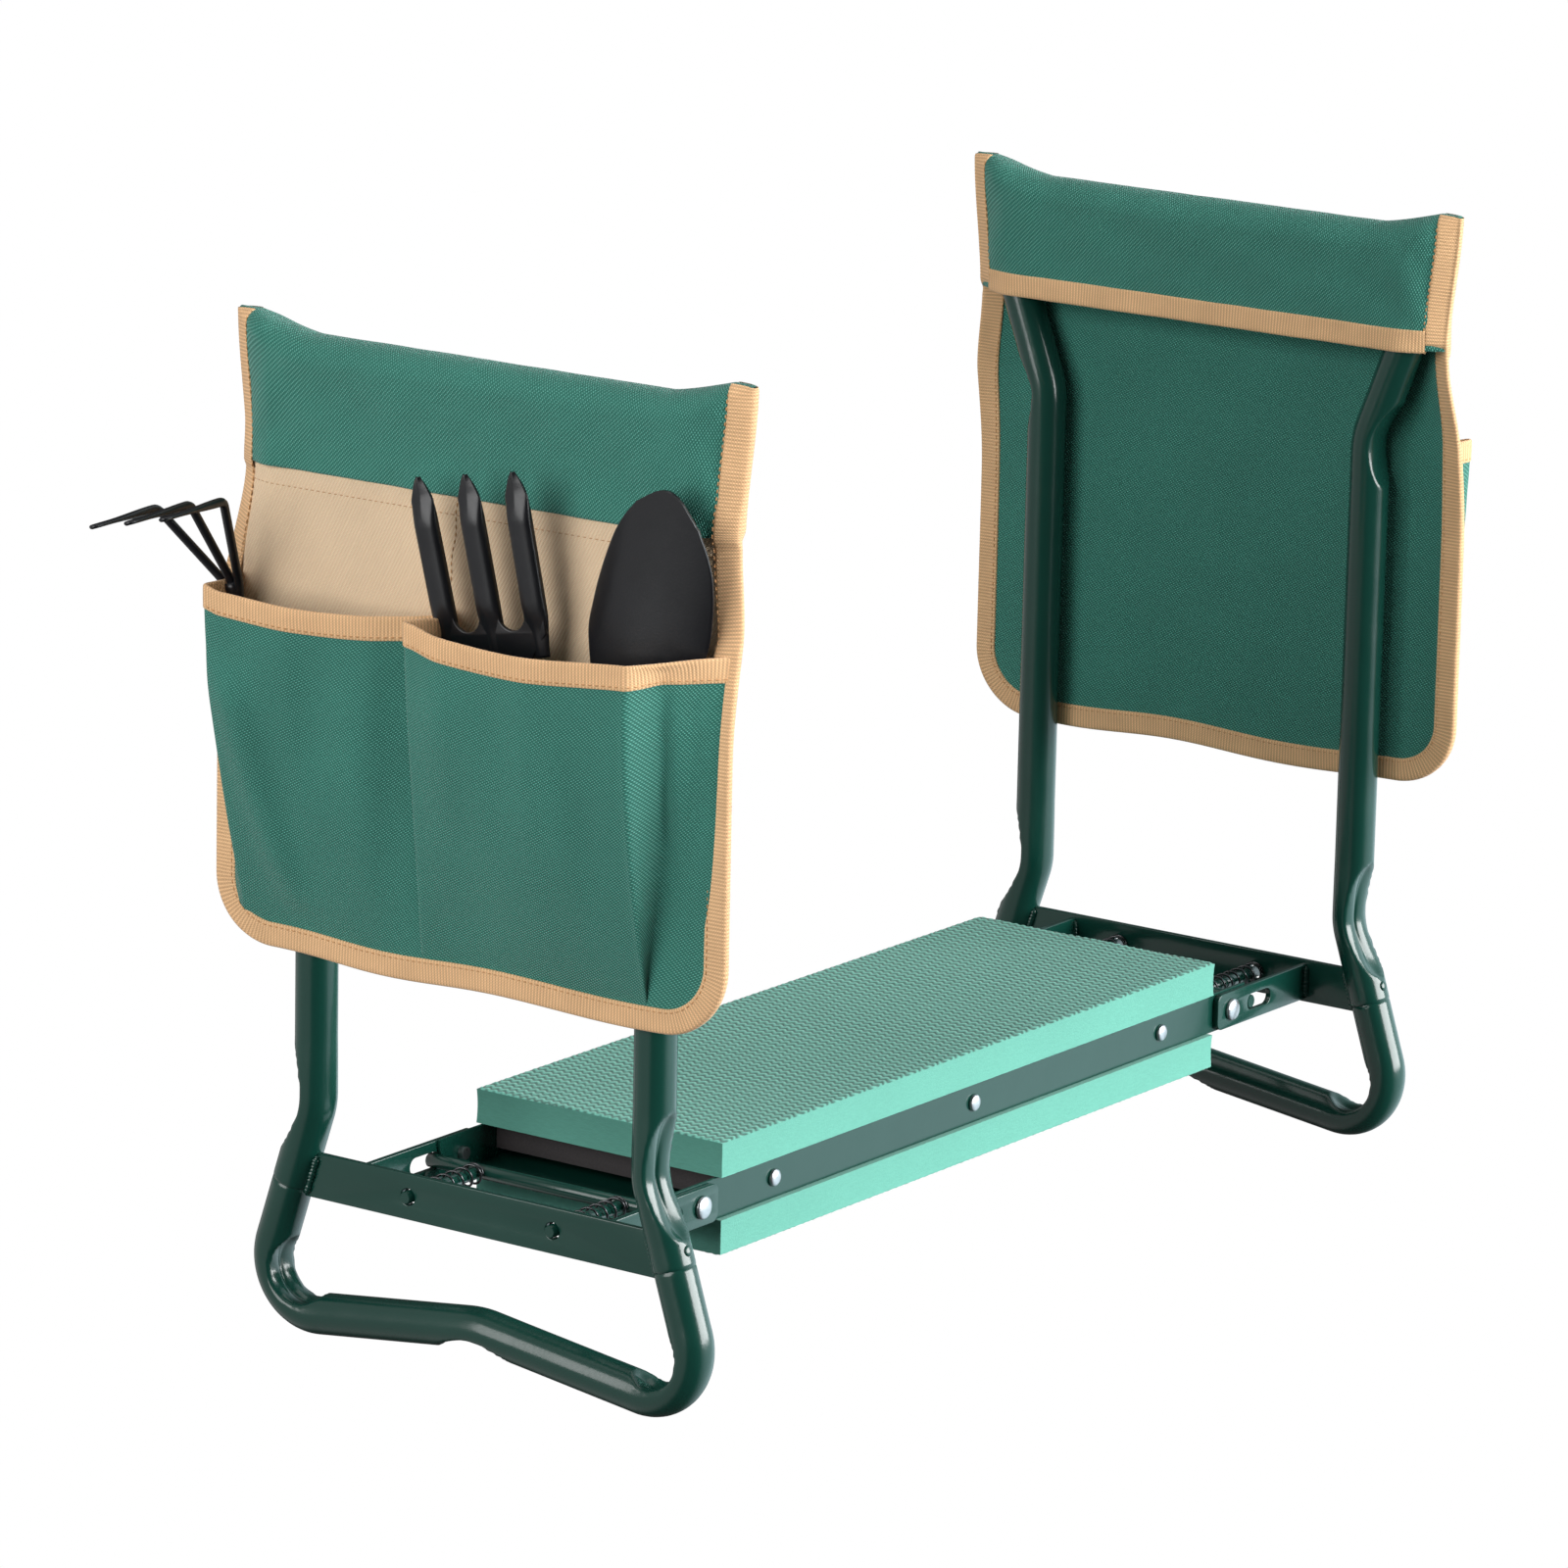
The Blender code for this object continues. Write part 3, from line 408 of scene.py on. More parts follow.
def joined(name, pieces):
    """One object from several, with loose duplicate points welded."""
    work = bmesh.new()
    paints = []
    for piece in pieces:
        start = len(work.faces)
        work.from_mesh(piece.data)
        work.faces.ensure_lookup_table()
        slots = []
        for paint in piece.data.materials:
            if paint not in paints:
                paints.append(paint)
            slots.append(paints.index(paint))
        for face in work.faces[start:]:
            face.material_index = slots[min(face.material_index, len(slots) - 1)]
    bmesh.ops.remove_doubles(work, verts=work.verts, dist=1e-6)
    mesh = bpy.data.meshes.new(name)
    work.to_mesh(mesh)
    work.free()
    for piece in pieces:
        bpy.data.objects.remove(piece, do_unlink=True)
    return link(name, mesh, paints)


def applied(piece):
    """The piece with its modifiers made part of its mesh."""
    evaluated = piece.evaluated_get(bpy.context.evaluated_depsgraph_get())
    mesh = bpy.data.meshes.new_from_object(evaluated)
    piece.modifiers.clear()
    piece.data = mesh
    return piece


def thick(piece, thickness, inner_paint=0):
    """Gives a sheet its thickness. inner_paint is added to the material number on its inner face."""
    solid = piece.modifiers.new("thickness", "SOLIDIFY")
    solid.thickness = thickness
    solid.offset = 0.0
    solid.material_offset = inner_paint
    return piece


def from_curve(name, curve, paint, matrix=None):
    made = bpy.data.objects.new(name + "_curve", curve)
    bpy.context.scene.collection.objects.link(made)
    evaluated = made.evaluated_get(bpy.context.evaluated_depsgraph_get())
    mesh = bpy.data.meshes.new_from_object(evaluated)
    bpy.data.objects.remove(made, do_unlink=True)
    mesh.materials.clear()
    return link(name, mesh, [paint], matrix)


def add_spline(curve, points, closed):
    spline = curve.splines.new("POLY")
    spline.points.add(len(points) - 1)
    spline.use_cyclic_u = closed
    for made, point in zip(spline.points, points):
        made.co = (*point, 1.0)
    return spline


def wire(name, points, radius, paint, matrix=None, resolution=4, scales=None):
    """A round wire along the points, its radius times scales where they are given."""
    curve = bpy.data.curves.new(name, "CURVE")
    curve.dimensions = "3D"
    curve.bevel_depth = radius
    curve.bevel_resolution = resolution
    curve.use_fill_caps = True
    spline = add_spline(curve, points, False)
    if scales is not None:
        spline.points.foreach_set("radius", scales)
    return from_curve(name, curve, paint, matrix)


def plate(name, loops, thickness, edge, paint, matrix):
    """A flat plate with holes and rounded edges: the first loop is its outline."""
    curve = bpy.data.curves.new(name, "CURVE")
    curve.dimensions = "2D"
    curve.fill_mode = "BOTH"
    curve.extrude = thickness / 2 - edge
    curve.bevel_depth = edge
    curve.bevel_resolution = 2
    curve.offset = -edge
    for loop in loops:
        add_spline(curve, [(x, y, 0.0) for x, y in loop], True)
    made = from_curve(name, curve, paint)
    made.data.set_sharp_from_angle(angle=math.radians(50))
    made.data.transform(matrix)
    return made


def turned(name, profile, paint, matrix, sides=36):
    """A solid turned about local Z from (radius, height) points, from its top to its bottom."""
    angles = np.linspace(0.0, 2.0 * math.pi, sides, endpoint=False)
    rows = [[(r * math.cos(a), r * math.sin(a), z) for a in angles] for r, z in profile]
    made = surface(name, rows, [paint], None, around=True)
    work = bmesh.new()
    work.from_mesh(made.data)
    bmesh.ops.remove_doubles(work, verts=work.verts, dist=1e-7)
    bmesh.ops.recalc_face_normals(work, faces=work.faces)
    work.to_mesh(made.data)
    work.free()
    made.data.shade_smooth()
    made.data.set_sharp_from_angle(angle=math.radians(45))
    made.data.transform(matrix)
    return made


def arc(centre, radius, start, end, steps):
    turns = np.linspace(start, end, steps + 1)
    return [(centre[0] + radius * math.cos(a), centre[1] + radius * math.sin(a)) for a in turns]


def circle(centre, radius, steps=36):
    return arc(centre, radius, 0.0, 2.0 * math.pi, steps)[:-1]


def resampled(points, spacing=None, count=None):
    """Points an even distance apart along a line through the given ones."""
    points = np.asarray(points, float)
    steps = np.linalg.norm(np.diff(points, axis=0), axis=1)
    lengths = np.concatenate([[0.0], np.cumsum(steps)])
    count = count or max(2, round(lengths[-1] / spacing) + 1)
    at = np.linspace(0.0, lengths[-1], count)
    return np.stack([np.interp(at, lengths, points[:, i]) for i in range(points.shape[1])], 1)


def filleted(corners, radii, degrees_per_step=3.0):
    """An open line through the corners, with each inner corner rounded to its radius."""
    corners = [Vector(corner) for corner in corners]
    points = [corners[0]]
    for before, here, after, radius in zip(corners, corners[1:], corners[2:], radii):
        back = (before - here).normalized()
        ahead = (after - here).normalized()
        half = back.angle(ahead) / 2.0
        centre = here + (back + ahead).normalized() * (radius / math.sin(half))
        first = here + back * (radius / math.tan(half)) - centre
        last = here + ahead * (radius / math.tan(half)) - centre
        sweep = math.pi - 2.0 * half
        steps = max(2, round(math.degrees(sweep) / degrees_per_step))
        for i in range(steps + 1):
            a, b = math.sin(sweep * (1 - i / steps)), math.sin(sweep * i / steps)
            points.append(centre + (first * a + last * b) / math.sin(sweep))
    points.append(corners[-1])
    return np.array(points)


UPRIGHT_PLANE = Matrix(((1, 0, 0, 0), (0, 0, -1, 0), (0, 1, 0, 0), (0, 0, 0, 1)))
CROSS_PLANE = Matrix(((0, 0, 1, 0), (1, 0, 0, 0), (0, 1, 0, 0), (0, 0, 0, 1)))


# ---------------------------------------------------------------- tubes

def slant_y(z):
    """Where the lower part of an upright runs, between its bend and the foot's corner."""
    slope = (FOOT_CORNER[0] - UPRIGHT_Y) / (LOWER_BEND_Z - FOOT_CORNER[1])
    return UPRIGHT_Y + (LOWER_BEND_Z - z) * slope


def tube_rings(path, dents, radii, sides=44):
    """Rings of points round a tube that runs in the Y-Z plane. Each dent is (corner, half length,
    depth, half angle, side), with side 1 on the inner side of the bend and -1 on the outer one."""
    path = np.asarray(path, float)
    ahead = np.gradient(path, axis=0)
    ahead /= np.linalg.norm(ahead, axis=1)[:, None]
    normal = np.stack([-ahead[:, 1], ahead[:, 0]], 1)
    lengths = np.concatenate([[0.0], np.cumsum(np.linalg.norm(np.diff(path, axis=0), axis=1))])
    angles = np.linspace(0.0, 2.0 * math.pi, sides, endpoint=False)
    push = np.zeros((len(path), sides))
    widen = np.zeros((len(path), 1))
    for corner, half_length, depth, half_angle, side in dents:
        nearest = int(np.argmin(np.linalg.norm(path - corner, axis=1)))
        before = ahead[max(0, nearest - 12)]
        after = ahead[min(len(path) - 1, nearest + 12)]
        inner = math.copysign(1.0, float(np.dot(after - before, normal[nearest]))) * side
        along = np.clip(np.abs(lengths - lengths[nearest]) / half_length, 0.0, 1.0)[:, None]
        turn = np.abs((angles[None, :] - inner * math.pi / 2 + math.pi) % (2.0 * math.pi) - math.pi)
        rim = np.maximum(half_angle * np.sqrt(1.0 - along ** 2), 1e-6)
        share = np.clip(1.0 - (turn / rim) ** 2, 0.0, 1.0)
        push += depth * share ** 0.85 * (1.0 - along ** 2) ** 0.6
        widen += 0.06 * depth * (1.0 - along ** 2)
    reach = np.asarray(radii)[:, None] * (1.0 - push)
    x = reach * np.cos(angles) * (1.0 + widen) + FRAME_X
    out = reach * np.sin(angles)
    y = path[:, :1] + out * normal[:, :1]
    z = path[:, 1:] + out * normal[:, 1:]
    return np.stack([x, y, z], 2)


def handle_tube(side, matrix):
    half = [
        (slant_y(SEAM_Z), SEAM_Z),
        (UPRIGHT_Y, LOWER_BEND_Z),
        (UPRIGHT_Y, UPPER_BEND_Z),
        (HANDLE_CORNER_Y, BAR_Z),
    ]
    corners = half + [(-y, z) for y, z in reversed(half)]
    bends = (0.03, 0.04, 0.025)
    path = resampled(filleted(corners, bends + bends[::-1]), 0.0016)
    dents = []
    for sign in (1.0, -1.0):
        dents.append(((sign * UPRIGHT_Y, LOWER_BEND_Z + 0.001), 0.031, 0.92, 1.4, 1.0))
        dents.append(((sign * UPRIGHT_Y, UPPER_BEND_Z), 0.024, 0.45, 1.2, 1.0))
        dents.append(((sign * HANDLE_CORNER_Y, BAR_Z), 0.02, 0.3, 1.1, 1.0))
    lip = [SPIGOT_R / TUBE_R, 0.93, 0.985]
    ends = [path[0], path[0], path[0] + (path[1] - path[0]) * 0.2]
    other = [path[-1], path[-1], path[-1] + (path[-2] - path[-1]) * 0.2]
    path = np.concatenate([ends, path[1:-1], other[::-1]])
    nudge = np.arange(3)[:, None] * 1e-5
    path[:3] += nudge * (path[3] - path[0])
    path[-3:] += nudge[::-1] * (path[-4] - path[-1])
    radii = TUBE_R * np.concatenate([lip, np.ones(len(path) - 6), lip[::-1]])
    rings = tube_rings(path, dents, radii)
    return surface(side + "_handle", rings, [STEEL], matrix, around=True)


def foot_tube(side, matrix):
    top = SEAM_Z + 0.004
    y, z = FOOT_CORNER
    corners = [(slant_y(top), top), (y, z), (0.0, FOOT_MIDDLE_Z), (-y, z), (-slant_y(top), top)]
    path = resampled(filleted(corners, (0.025, 0.05, 0.025)), 0.0015)
    dents = [((0.0, FOOT_MIDDLE_Z), 0.024, 0.5, 1.15, 1.0)]
    for sign in (1.0, -1.0):
        dents.append(((sign * (y - 0.004), z + 0.004), 0.030, 0.85, 1.36, 1.0))
    seam = (SEAM_Z - 0.0003, SEAM_Z + 0.0002)
    radii = np.interp(path[:, 1], seam, (TUBE_R - 0.0001, SPIGOT_R))
    rings = tube_rings(path, dents, radii)
    return surface(side + "_foot", rings, [STEEL], matrix, around=True)


def weld_bead(name, points, radius, matrix, seed):
    """A short, lumpy bead of weld under the paint."""
    points = resampled(points, 0.0006)
    noise = np.random.default_rng(seed)
    ripple = 1.0 + 0.16 * np.sin(np.arange(len(points)) * 2.1) + 0.1 * noise.standard_normal(len(points))
    ends = np.minimum(np.arange(len(points)), np.arange(len(points))[::-1]) / 3.0
    scales = ripple * np.sqrt(np.clip(ends, 0.04, 1.0))
    return wire(name, points, radius, STEEL, matrix, 3, scales)


# ---------------------------------------------------------------- flat steel, rivets and locks

ROD_LOW, ROD_HIGH = local_box("lock_rod")
BAR_LOW, BAR_HIGH = local_box("crossbar")
EAR_LOW, EAR_HIGH = local_box("ear_back")
PIN_LOW, PIN_HIGH = local_box("guide_pin_back")
SPRING_LOW, SPRING_HIGH = local_box("lock_spring_back")
ROD_R = (ROD_HIGH.z - ROD_LOW.z) / 2
ROD_X = (ROD_HIGH.x + ROD_LOW.x) / 2


def crossbar(side, matrix):
    low, top = BAR_LOW.z, BAR_HIGH.z
    reach = TUBE_R - 0.0006
    edge = [
        (slant_y(low) - reach, low),
        (slant_y(top) - reach, top),
        (-slant_y(top) + reach, top),
        (-slant_y(low) + reach, low),
    ]
    hole_r = 0.0041
    holes = [circle((y, 0.0), hole_r, 40) for y in (-GUIDE_PIN_Y, GUIDE_PIN_Y)]
    thickness = BAR_HIGH.x - BAR_LOW.x
    place = matrix @ Matrix.Translation((FRAME_X, 0, 0)) @ CROSS_PLANE
    bar = plate(side + "_crossbar_plate", [edge, *holes], thickness, 0.0004, STEEL, place)
    beads = []
    for end in (1.0, -1.0):
        for face in (1.0, -1.0):
            x = FRAME_X + face * (thickness / 2 + 0.0002)
            heights = (top - 0.001, 0.0, low + 0.001)
            line = [(x, end * (slant_y(z) - TUBE_R - 0.0006), z) for z in heights]
            seed = int(end + 2.0 * face) + 5
            beads.append(weld_bead("bead", line, 0.0019, matrix, seed))
    return joined(side + "_crossbar_welded", [bar, *beads])


def ear(side, label, sign, matrix):
    """The flat arm from the crossbar to the seat's pivot, slotted for the lock rod."""
    end = BAR_LOW.x + 0.0002
    high = EAR_HIGH.z
    left = EAR_LOW.x
    corner = 0.0042
    edge = [(end, -high), (end, high)]
    edge += arc((left + corner, high - corner), corner, math.pi / 2, math.pi, 10)
    edge += arc((left + corner, -high + corner), corner, math.pi, 3 * math.pi / 2, 10)
    half, play, travel = 0.0042, 0.00035, 0.014
    near = ROD_X - ROD_R - play + half
    far = ROD_X + travel + ROD_R + play - half
    slot = arc((near, 0), half, math.pi / 2, 3 * math.pi / 2, 16)
    slot += arc((far, 0), half, -math.pi / 2, math.pi / 2, 16)
    low, upper = local_box("ear_" + ("back" if sign > 0 else "front"))
    middle_y = (low.y + upper.y) / 2
    place = matrix @ Matrix.Translation((0, middle_y, 0)) @ UPRIGHT_PLANE
    thickness = upper.y - low.y
    pivot_hole = circle((0, 0), 0.0033, 30)
    body = plate("arm", [edge, pivot_hole, slot], thickness, 0.0004, STEEL, place)
    beads = []
    for face in (1.0, -1.0):
        y = middle_y + face * (thickness / 2 + 0.0001)
        line = [(end - 0.0008, y, z) for z in (-high + 0.001, 0.0, high - 0.001)]
        beads.append(weld_bead("bead", line, 0.0017, matrix, int(face) + 9 + int(3 * sign)))
    return joined("%s_arm_%s" % (side, label), [body, *beads])


def dome(radius, height, steps=10):
    """Points from the top of a shallow dome to its rim, with a short straight edge below it."""
    turns = [math.pi / 2 * i / steps for i in range(steps + 1)]
    points = [(radius * math.sin(a), height * (0.22 + 0.78 * math.cos(a) ** 0.9)) for a in turns[:-1]]
    return points + [(radius, height * 0.2), (radius * 0.97, 0.0)]


def outward(node):
    """A matrix whose +Z points out of the seat's side where a rivet sits, the distances of its two
    ends from the seat's middle, and its radius."""
    low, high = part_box(node)
    sign = 1.0 if low.y + high.y > 0 else -1.0
    middle = (low + high) / 2
    turn = Matrix.Rotation(-sign * math.pi / 2, 4, "X")
    matrix = Matrix.Translation((middle.x, 0, middle.z)) @ turn
    return matrix, abs(low.y), abs(high.y), (high.x - low.x) / 2


def seat_rivet(node):
    """A zinc rivet with a slightly faceted dome. The head is its outer, wide end."""
    matrix, one, other, radius = outward(node)
    outer, inner = max(one, other), min(one, other)
    pivot = "pivot" in node
    height = 0.0026 if pivot else 0.0022
    base = outer - height
    shank = 0.0031 if pivot else 0.0021
    profile = [(r, base + h) for r, h in dome(radius, height)]
    profile += [(shank, base), (shank, inner + 0.0003), (0.0, inner)]
    made = turned(node + "_head", profile, ZINC, matrix)
    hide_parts(node)
    return made


def pinned(name, start, end, radius, matrix, chamfer=0.0005):
    """A round pin between two points, chamfered at both ends."""
    start, end = Vector(start), Vector(end)
    length = (end - start).length
    turn = (end - start).to_track_quat("Z", "Y").to_matrix().to_4x4()
    profile = [
        (0.0, length),
        (radius - chamfer, length),
        (radius, length - chamfer),
        (radius, chamfer),
        (radius - chamfer, 0.0),
        (0.0, 0.0),
    ]
    return turned(name, profile, STEEL, matrix @ Matrix.Translation(start) @ turn, 32)


def coil(name, y, matrix):
    """A compression spring on a guide pin, with its end turns closed up."""
    wire_r = 0.0006
    start, end = SPRING_LOW.x + wire_r, SPRING_HIGH.x - wire_r
    turns, per_turn = 8.5, 20
    count = int(turns * per_turn)
    i = np.arange(count + 1) / per_turn
    rise = np.clip(i - 1.0, 0.0, turns - 2.0) / (turns - 2.0)
    closed = np.minimum(i, 1.0) + np.maximum(i - turns + 1.0, 0.0)
    pitch = wire_r * 2.05
    x = start + closed * pitch + rise * (end - start - 2.0 * pitch)
    mean_r = (SPRING_HIGH.z - SPRING_LOW.z) / 2 - wire_r
    turn = i * 2 * math.pi
    points = np.stack([x, y + mean_r * np.cos(turn), mean_r * np.sin(turn)], 1)
    return wire(name, points, wire_r, SPRING, matrix, 2)


def tube_rivet(side, label, matrix):
    """The small painted rivet that pins the handle tube to the foot's spigot."""
    sign = (-1.0 if side == "right" else 1.0) * (1.0 if label == "front" else -1.0)
    z = SEAM_Z + 0.007
    along = Vector((0.0, slant_y(z + 0.01) - slant_y(z), 0.01)).normalized()
    out = Vector((0.0, sign * along.z, -along.y))
    turn = out.to_track_quat("Z", "Y").to_matrix().to_4x4()
    place = Matrix.Translation((FRAME_X, sign * slant_y(z), z)) @ turn
    profile = [(r, TUBE_R - 0.0003 + h) for r, h in dome(0.0026, 0.0013)]
    profile += [(0.0018, TUBE_R - 0.0006), (0.0, TUBE_R - 0.0008)]
    return turned("%s_%s_seam_rivet" % (side, label), profile, STEEL, matrix @ place, 28)


def placed(piece, body, paint, *nodes):
    """Moves the piece with a body, in place of its CAD nodes."""
    if nodes:
        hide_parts(*nodes)
    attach(piece, body)
    return piece


def end_frame(side, matrix):
    frame_body = side + "_frame"
    lock_body = side + "_lock"
    placed(handle_tube(side, matrix), frame_body, "green_painted_steel", side + "_handle_tube")
    placed(foot_tube(side, matrix), frame_body, "green_painted_steel", side + "_foot_tube")
    placed(crossbar(side, matrix), frame_body, "green_painted_steel", side + "_crossbar")
    front = -1.0 if side == "right" else 1.0
    for label, sign in (("front", front), ("back", -front)):
        ear_node = "%s_ear_%s" % (side, label)
        placed(ear(side, label, sign, matrix), frame_body, "green_painted_steel", ear_node)
        rivet_node = "%s_%s_tube_rivet" % (side, label)
        placed(tube_rivet(side, label, matrix), frame_body, "green_painted_steel", rivet_node)
        y = sign * GUIDE_PIN_Y
        ends = (PIN_LOW.x, y, 0), (PIN_HIGH.x, y, 0)
        pin = pinned("%s_pin_%s" % (side, label), *ends, GUIDE_PIN_R, matrix)
        placed(pin, lock_body, "green_painted_steel", "%s_guide_pin_%s" % (side, label))
        spring = coil("%s_coil_%s" % (side, label), y, matrix)
        placed(spring, frame_body, "spring_steel", "%s_lock_spring_%s" % (side, label))
        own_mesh(spring)
    rod = pinned(side + "_rod", (ROD_X, ROD_LOW.y, 0), (ROD_X, ROD_HIGH.y, 0), ROD_R, matrix)
    placed(rod, lock_body, "green_painted_steel", side + "_lock_rod")


# ---------------------------------------------------------------- seat

def carried_over(node, paint, edge):
    """A CAD node shown as it is, with softened edges and its own paint."""
    shown = frame["nodes"][node]
    shown.data.materials.clear()
    shown.data.materials.append(paint)
    weld = shown.modifiers.new("weld", "WELD")
    weld.merge_threshold = 0.00001
    bevel = shown.modifiers.new("edges", "BEVEL")
    bevel.width = edge
    bevel.segments = 2
    bevel.limit_method = "ANGLE"
    bevel.angle_limit = math.radians(40)
    shown.data.shade_smooth()
    flat = shown.modifiers.new("flat_faces", "WEIGHTED_NORMAL")
    flat.weight = 100


def foam_pad(node, face):
    """A foam pad with an embossed face (+1 up, -1 down) and cut sides that are slightly hollow."""
    low, high = (np.array(corner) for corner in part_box(node))
    if face < 0:
        low[2], high[2] = high[2], low[2]
    length, width = high[0] - low[0], high[1] - low[1]
    spacing, sink, hollow_end, hollow_side = 0.0011, 0.0006, 0.0004, 0.0003
    columns, rows = int(length / spacing), int(width / spacing)
    x, y = np.meshgrid(np.linspace(low[0], high[0], columns), np.linspace(low[1], high[1], rows))
    wave = np.sin(2.0 * math.pi * (y + WAVE_SKEW * x) / WAVE_PITCH)
    row = 2.0 * math.pi * (x + ROW_SKEW * y) / ROW_PITCH
    raised = 0.5 + 0.5 * np.cos(row + WAVE_REACH * wave)
    edge = np.minimum(np.minimum(x - low[0], high[0] - x), np.minimum(y - low[1], high[1] - y))
    sunk = sink * (1.0 - raised) * smoothstep(edge / 0.0015)
    rounded = 0.0008 * (1.0 - smoothstep(edge / 0.0012)) ** 2
    z = high[2] - face * (sunk + rounded)
    top = np.stack([x, y, z], 2)
    levels = np.array([0.0, 0.05, 0.12, 0.25, 0.4, 0.55, 0.7, 0.82, 0.92, 0.97, 1.0])
    rim = np.concatenate([top[0, :], top[1:, -1], top[-1, -2::-1], top[-2:0:-1, 0]])
    centre = (low + high) / 2
    rings = []
    for level in levels:
        ring = rim.copy()
        hollow = 4.0 * level * (1.0 - level)
        ring[:, 2] = rim[:, 2] + (low[2] - rim[:, 2]) * level
        at_end = np.abs(ring[:, 0] - centre[0]) > length / 2 - 1e-6
        at_side = np.abs(ring[:, 1] - centre[1]) > width / 2 - 1e-6
        ring[at_end, 0] += np.sign(centre[0] - ring[at_end, 0]) * hollow_end * hollow
        ring[at_side, 1] += np.sign(centre[1] - ring[at_side, 1]) * (hollow_side * hollow)
        rings.append(ring)
    side = surface(node + "_side", rings, [FOAM], None, around=True)
    cover = surface(node + "_face", top, [FOAM_TOP], None)
    under = top.copy()
    under[:, :, 2] = low[2]
    back = surface(node + "_back", under[::-1, :], [FOAM], None)
    if face < 0:
        for piece in (side, cover, back):
            piece.data.flip_normals()
    pad = joined(node + "_foam", [cover, side, back])
    pad.data.set_sharp_from_angle(angle=math.radians(60))
    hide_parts(node)
    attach(pad, "seat")
    return pad


def seat():
    carried_over("seat_tray", STEEL, 0.0003)
    carried_over("seat_board", BOARD, 0.0004)
    foam_pad("upper_pad", 1.0)
    foam_pad("lower_pad", -1.0)
    for node in frame["nodes"]:
        if "board_rivet" in node or "pivot_rivet" in node:
            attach(seat_rivet(node), "seat")


# ---------------------------------------------------------------- pouches

SEAM_FACE = PANEL_FACE - 0.0006
CLOTH = 0.0012
BAR_COVER = 0.0116
CAP_LOW = SEAM_TOP
EDGE_HALF_DEPTH = 0.0009
WAIST = 0.0055
BELLOWS_Y = 0.121


def pouch_half_width(z):
    """Half the pouch's width: a shallow waist under the cap."""
    waist = smoothstep((z - 0.285) / 0.05) * smoothstep((CAP_TOP - z) / 0.07)
    return HALF_WIDTH - WAIST * waist


def cap_half_depth(y):
    """Half the band's depth across the pouch: full over the bar and flat at the two sides."""
    share = np.clip((np.abs(y) - BELLOWS_Y) / (HALF_WIDTH - BELLOWS_Y), 0.0, 1.0)
    return BAR_COVER + (EDGE_HALF_DEPTH - BAR_COVER) * share ** 1.6


def band_half_depth(y, z):
    """Half the band's depth, closing to nothing over the top of its arch."""
    half = cap_half_depth(y)
    over = np.clip((z - cap_top(y) + half) / half, 0.0, 1.0)
    return half * np.sqrt(1.0 - over ** 2)


def cap_top(y):
    """The band's top line, which rises to the pouch's two corners."""
    level = 0.100
    rise = np.clip((np.abs(y) - level) / (HALF_WIDTH - TAPE_WIDTH - level), 0.0, 1.0) ** 1.25
    return BAR_Z + BAR_COVER + (CAP_TOP - CLOTH - BAR_Z - BAR_COVER) * rise


def unwaisted(y, z):
    """How far across the pouch y lies, as if it had no waist."""
    return y * (HALF_WIDTH / pouch_half_width(z))


def outer_x(y, z):
    """The outer face of the pouch's body and of its band."""
    inward = (BAR_COVER - cap_half_depth(unwaisted(y, z))) * smoothstep((z - 0.238) / 0.099)
    hang = smoothstep((0.335 - z) / 0.12)
    drape = 0.0007 * (1.0 + np.sin(31.0 * y + 1.2)) + 0.0004 * (1.0 + np.sin(73.0 * y - 9.0 * z))
    body = SEAM_FACE - inward + hang * drape
    band = FRAME_X + band_half_depth(unwaisted(y, z), z) + CLOTH / 2
    return body + (band - body) * smoothstep((z - CAP_LOW) / 0.01)


def cap_lap(y, z):
    """How far the cap's lower edge stands off the body it is sewn to."""
    over = 0.0009 + 0.0009 * smoothstep((np.abs(y) - 0.112) / 0.012)
    return over * (1.0 - smoothstep((z - CAP_LOW) / 0.02))


def inner_x(y, z):
    """The inner face of the pouch's body and of its band."""
    body = outer_x(y, z) - CLOTH
    band = FRAME_X - band_half_depth(unwaisted(y, z), z) - CLOTH / 2
    return body + (band - body) * smoothstep((z - CAP_LOW + 0.002) / 0.006)


def bottom_z(y):
    """The slightly uneven bottom edge."""
    return PANEL_BOTTOM + 0.0012 * (1.0 + np.sin(47.0 * y + 0.6))


def creases(y, around):
    """Soft creases in stretched cloth."""
    long = np.sin(y * 95.0 + around * 120.0 + 0.6) * np.sin(y * 37.0 - around * 60.0)
    fine = np.sin(y * 210.0 - around * 170.0 + 2.0) * np.sin(around * 95.0 + 1.0)
    return 0.00045 * long + 0.0002 * fine


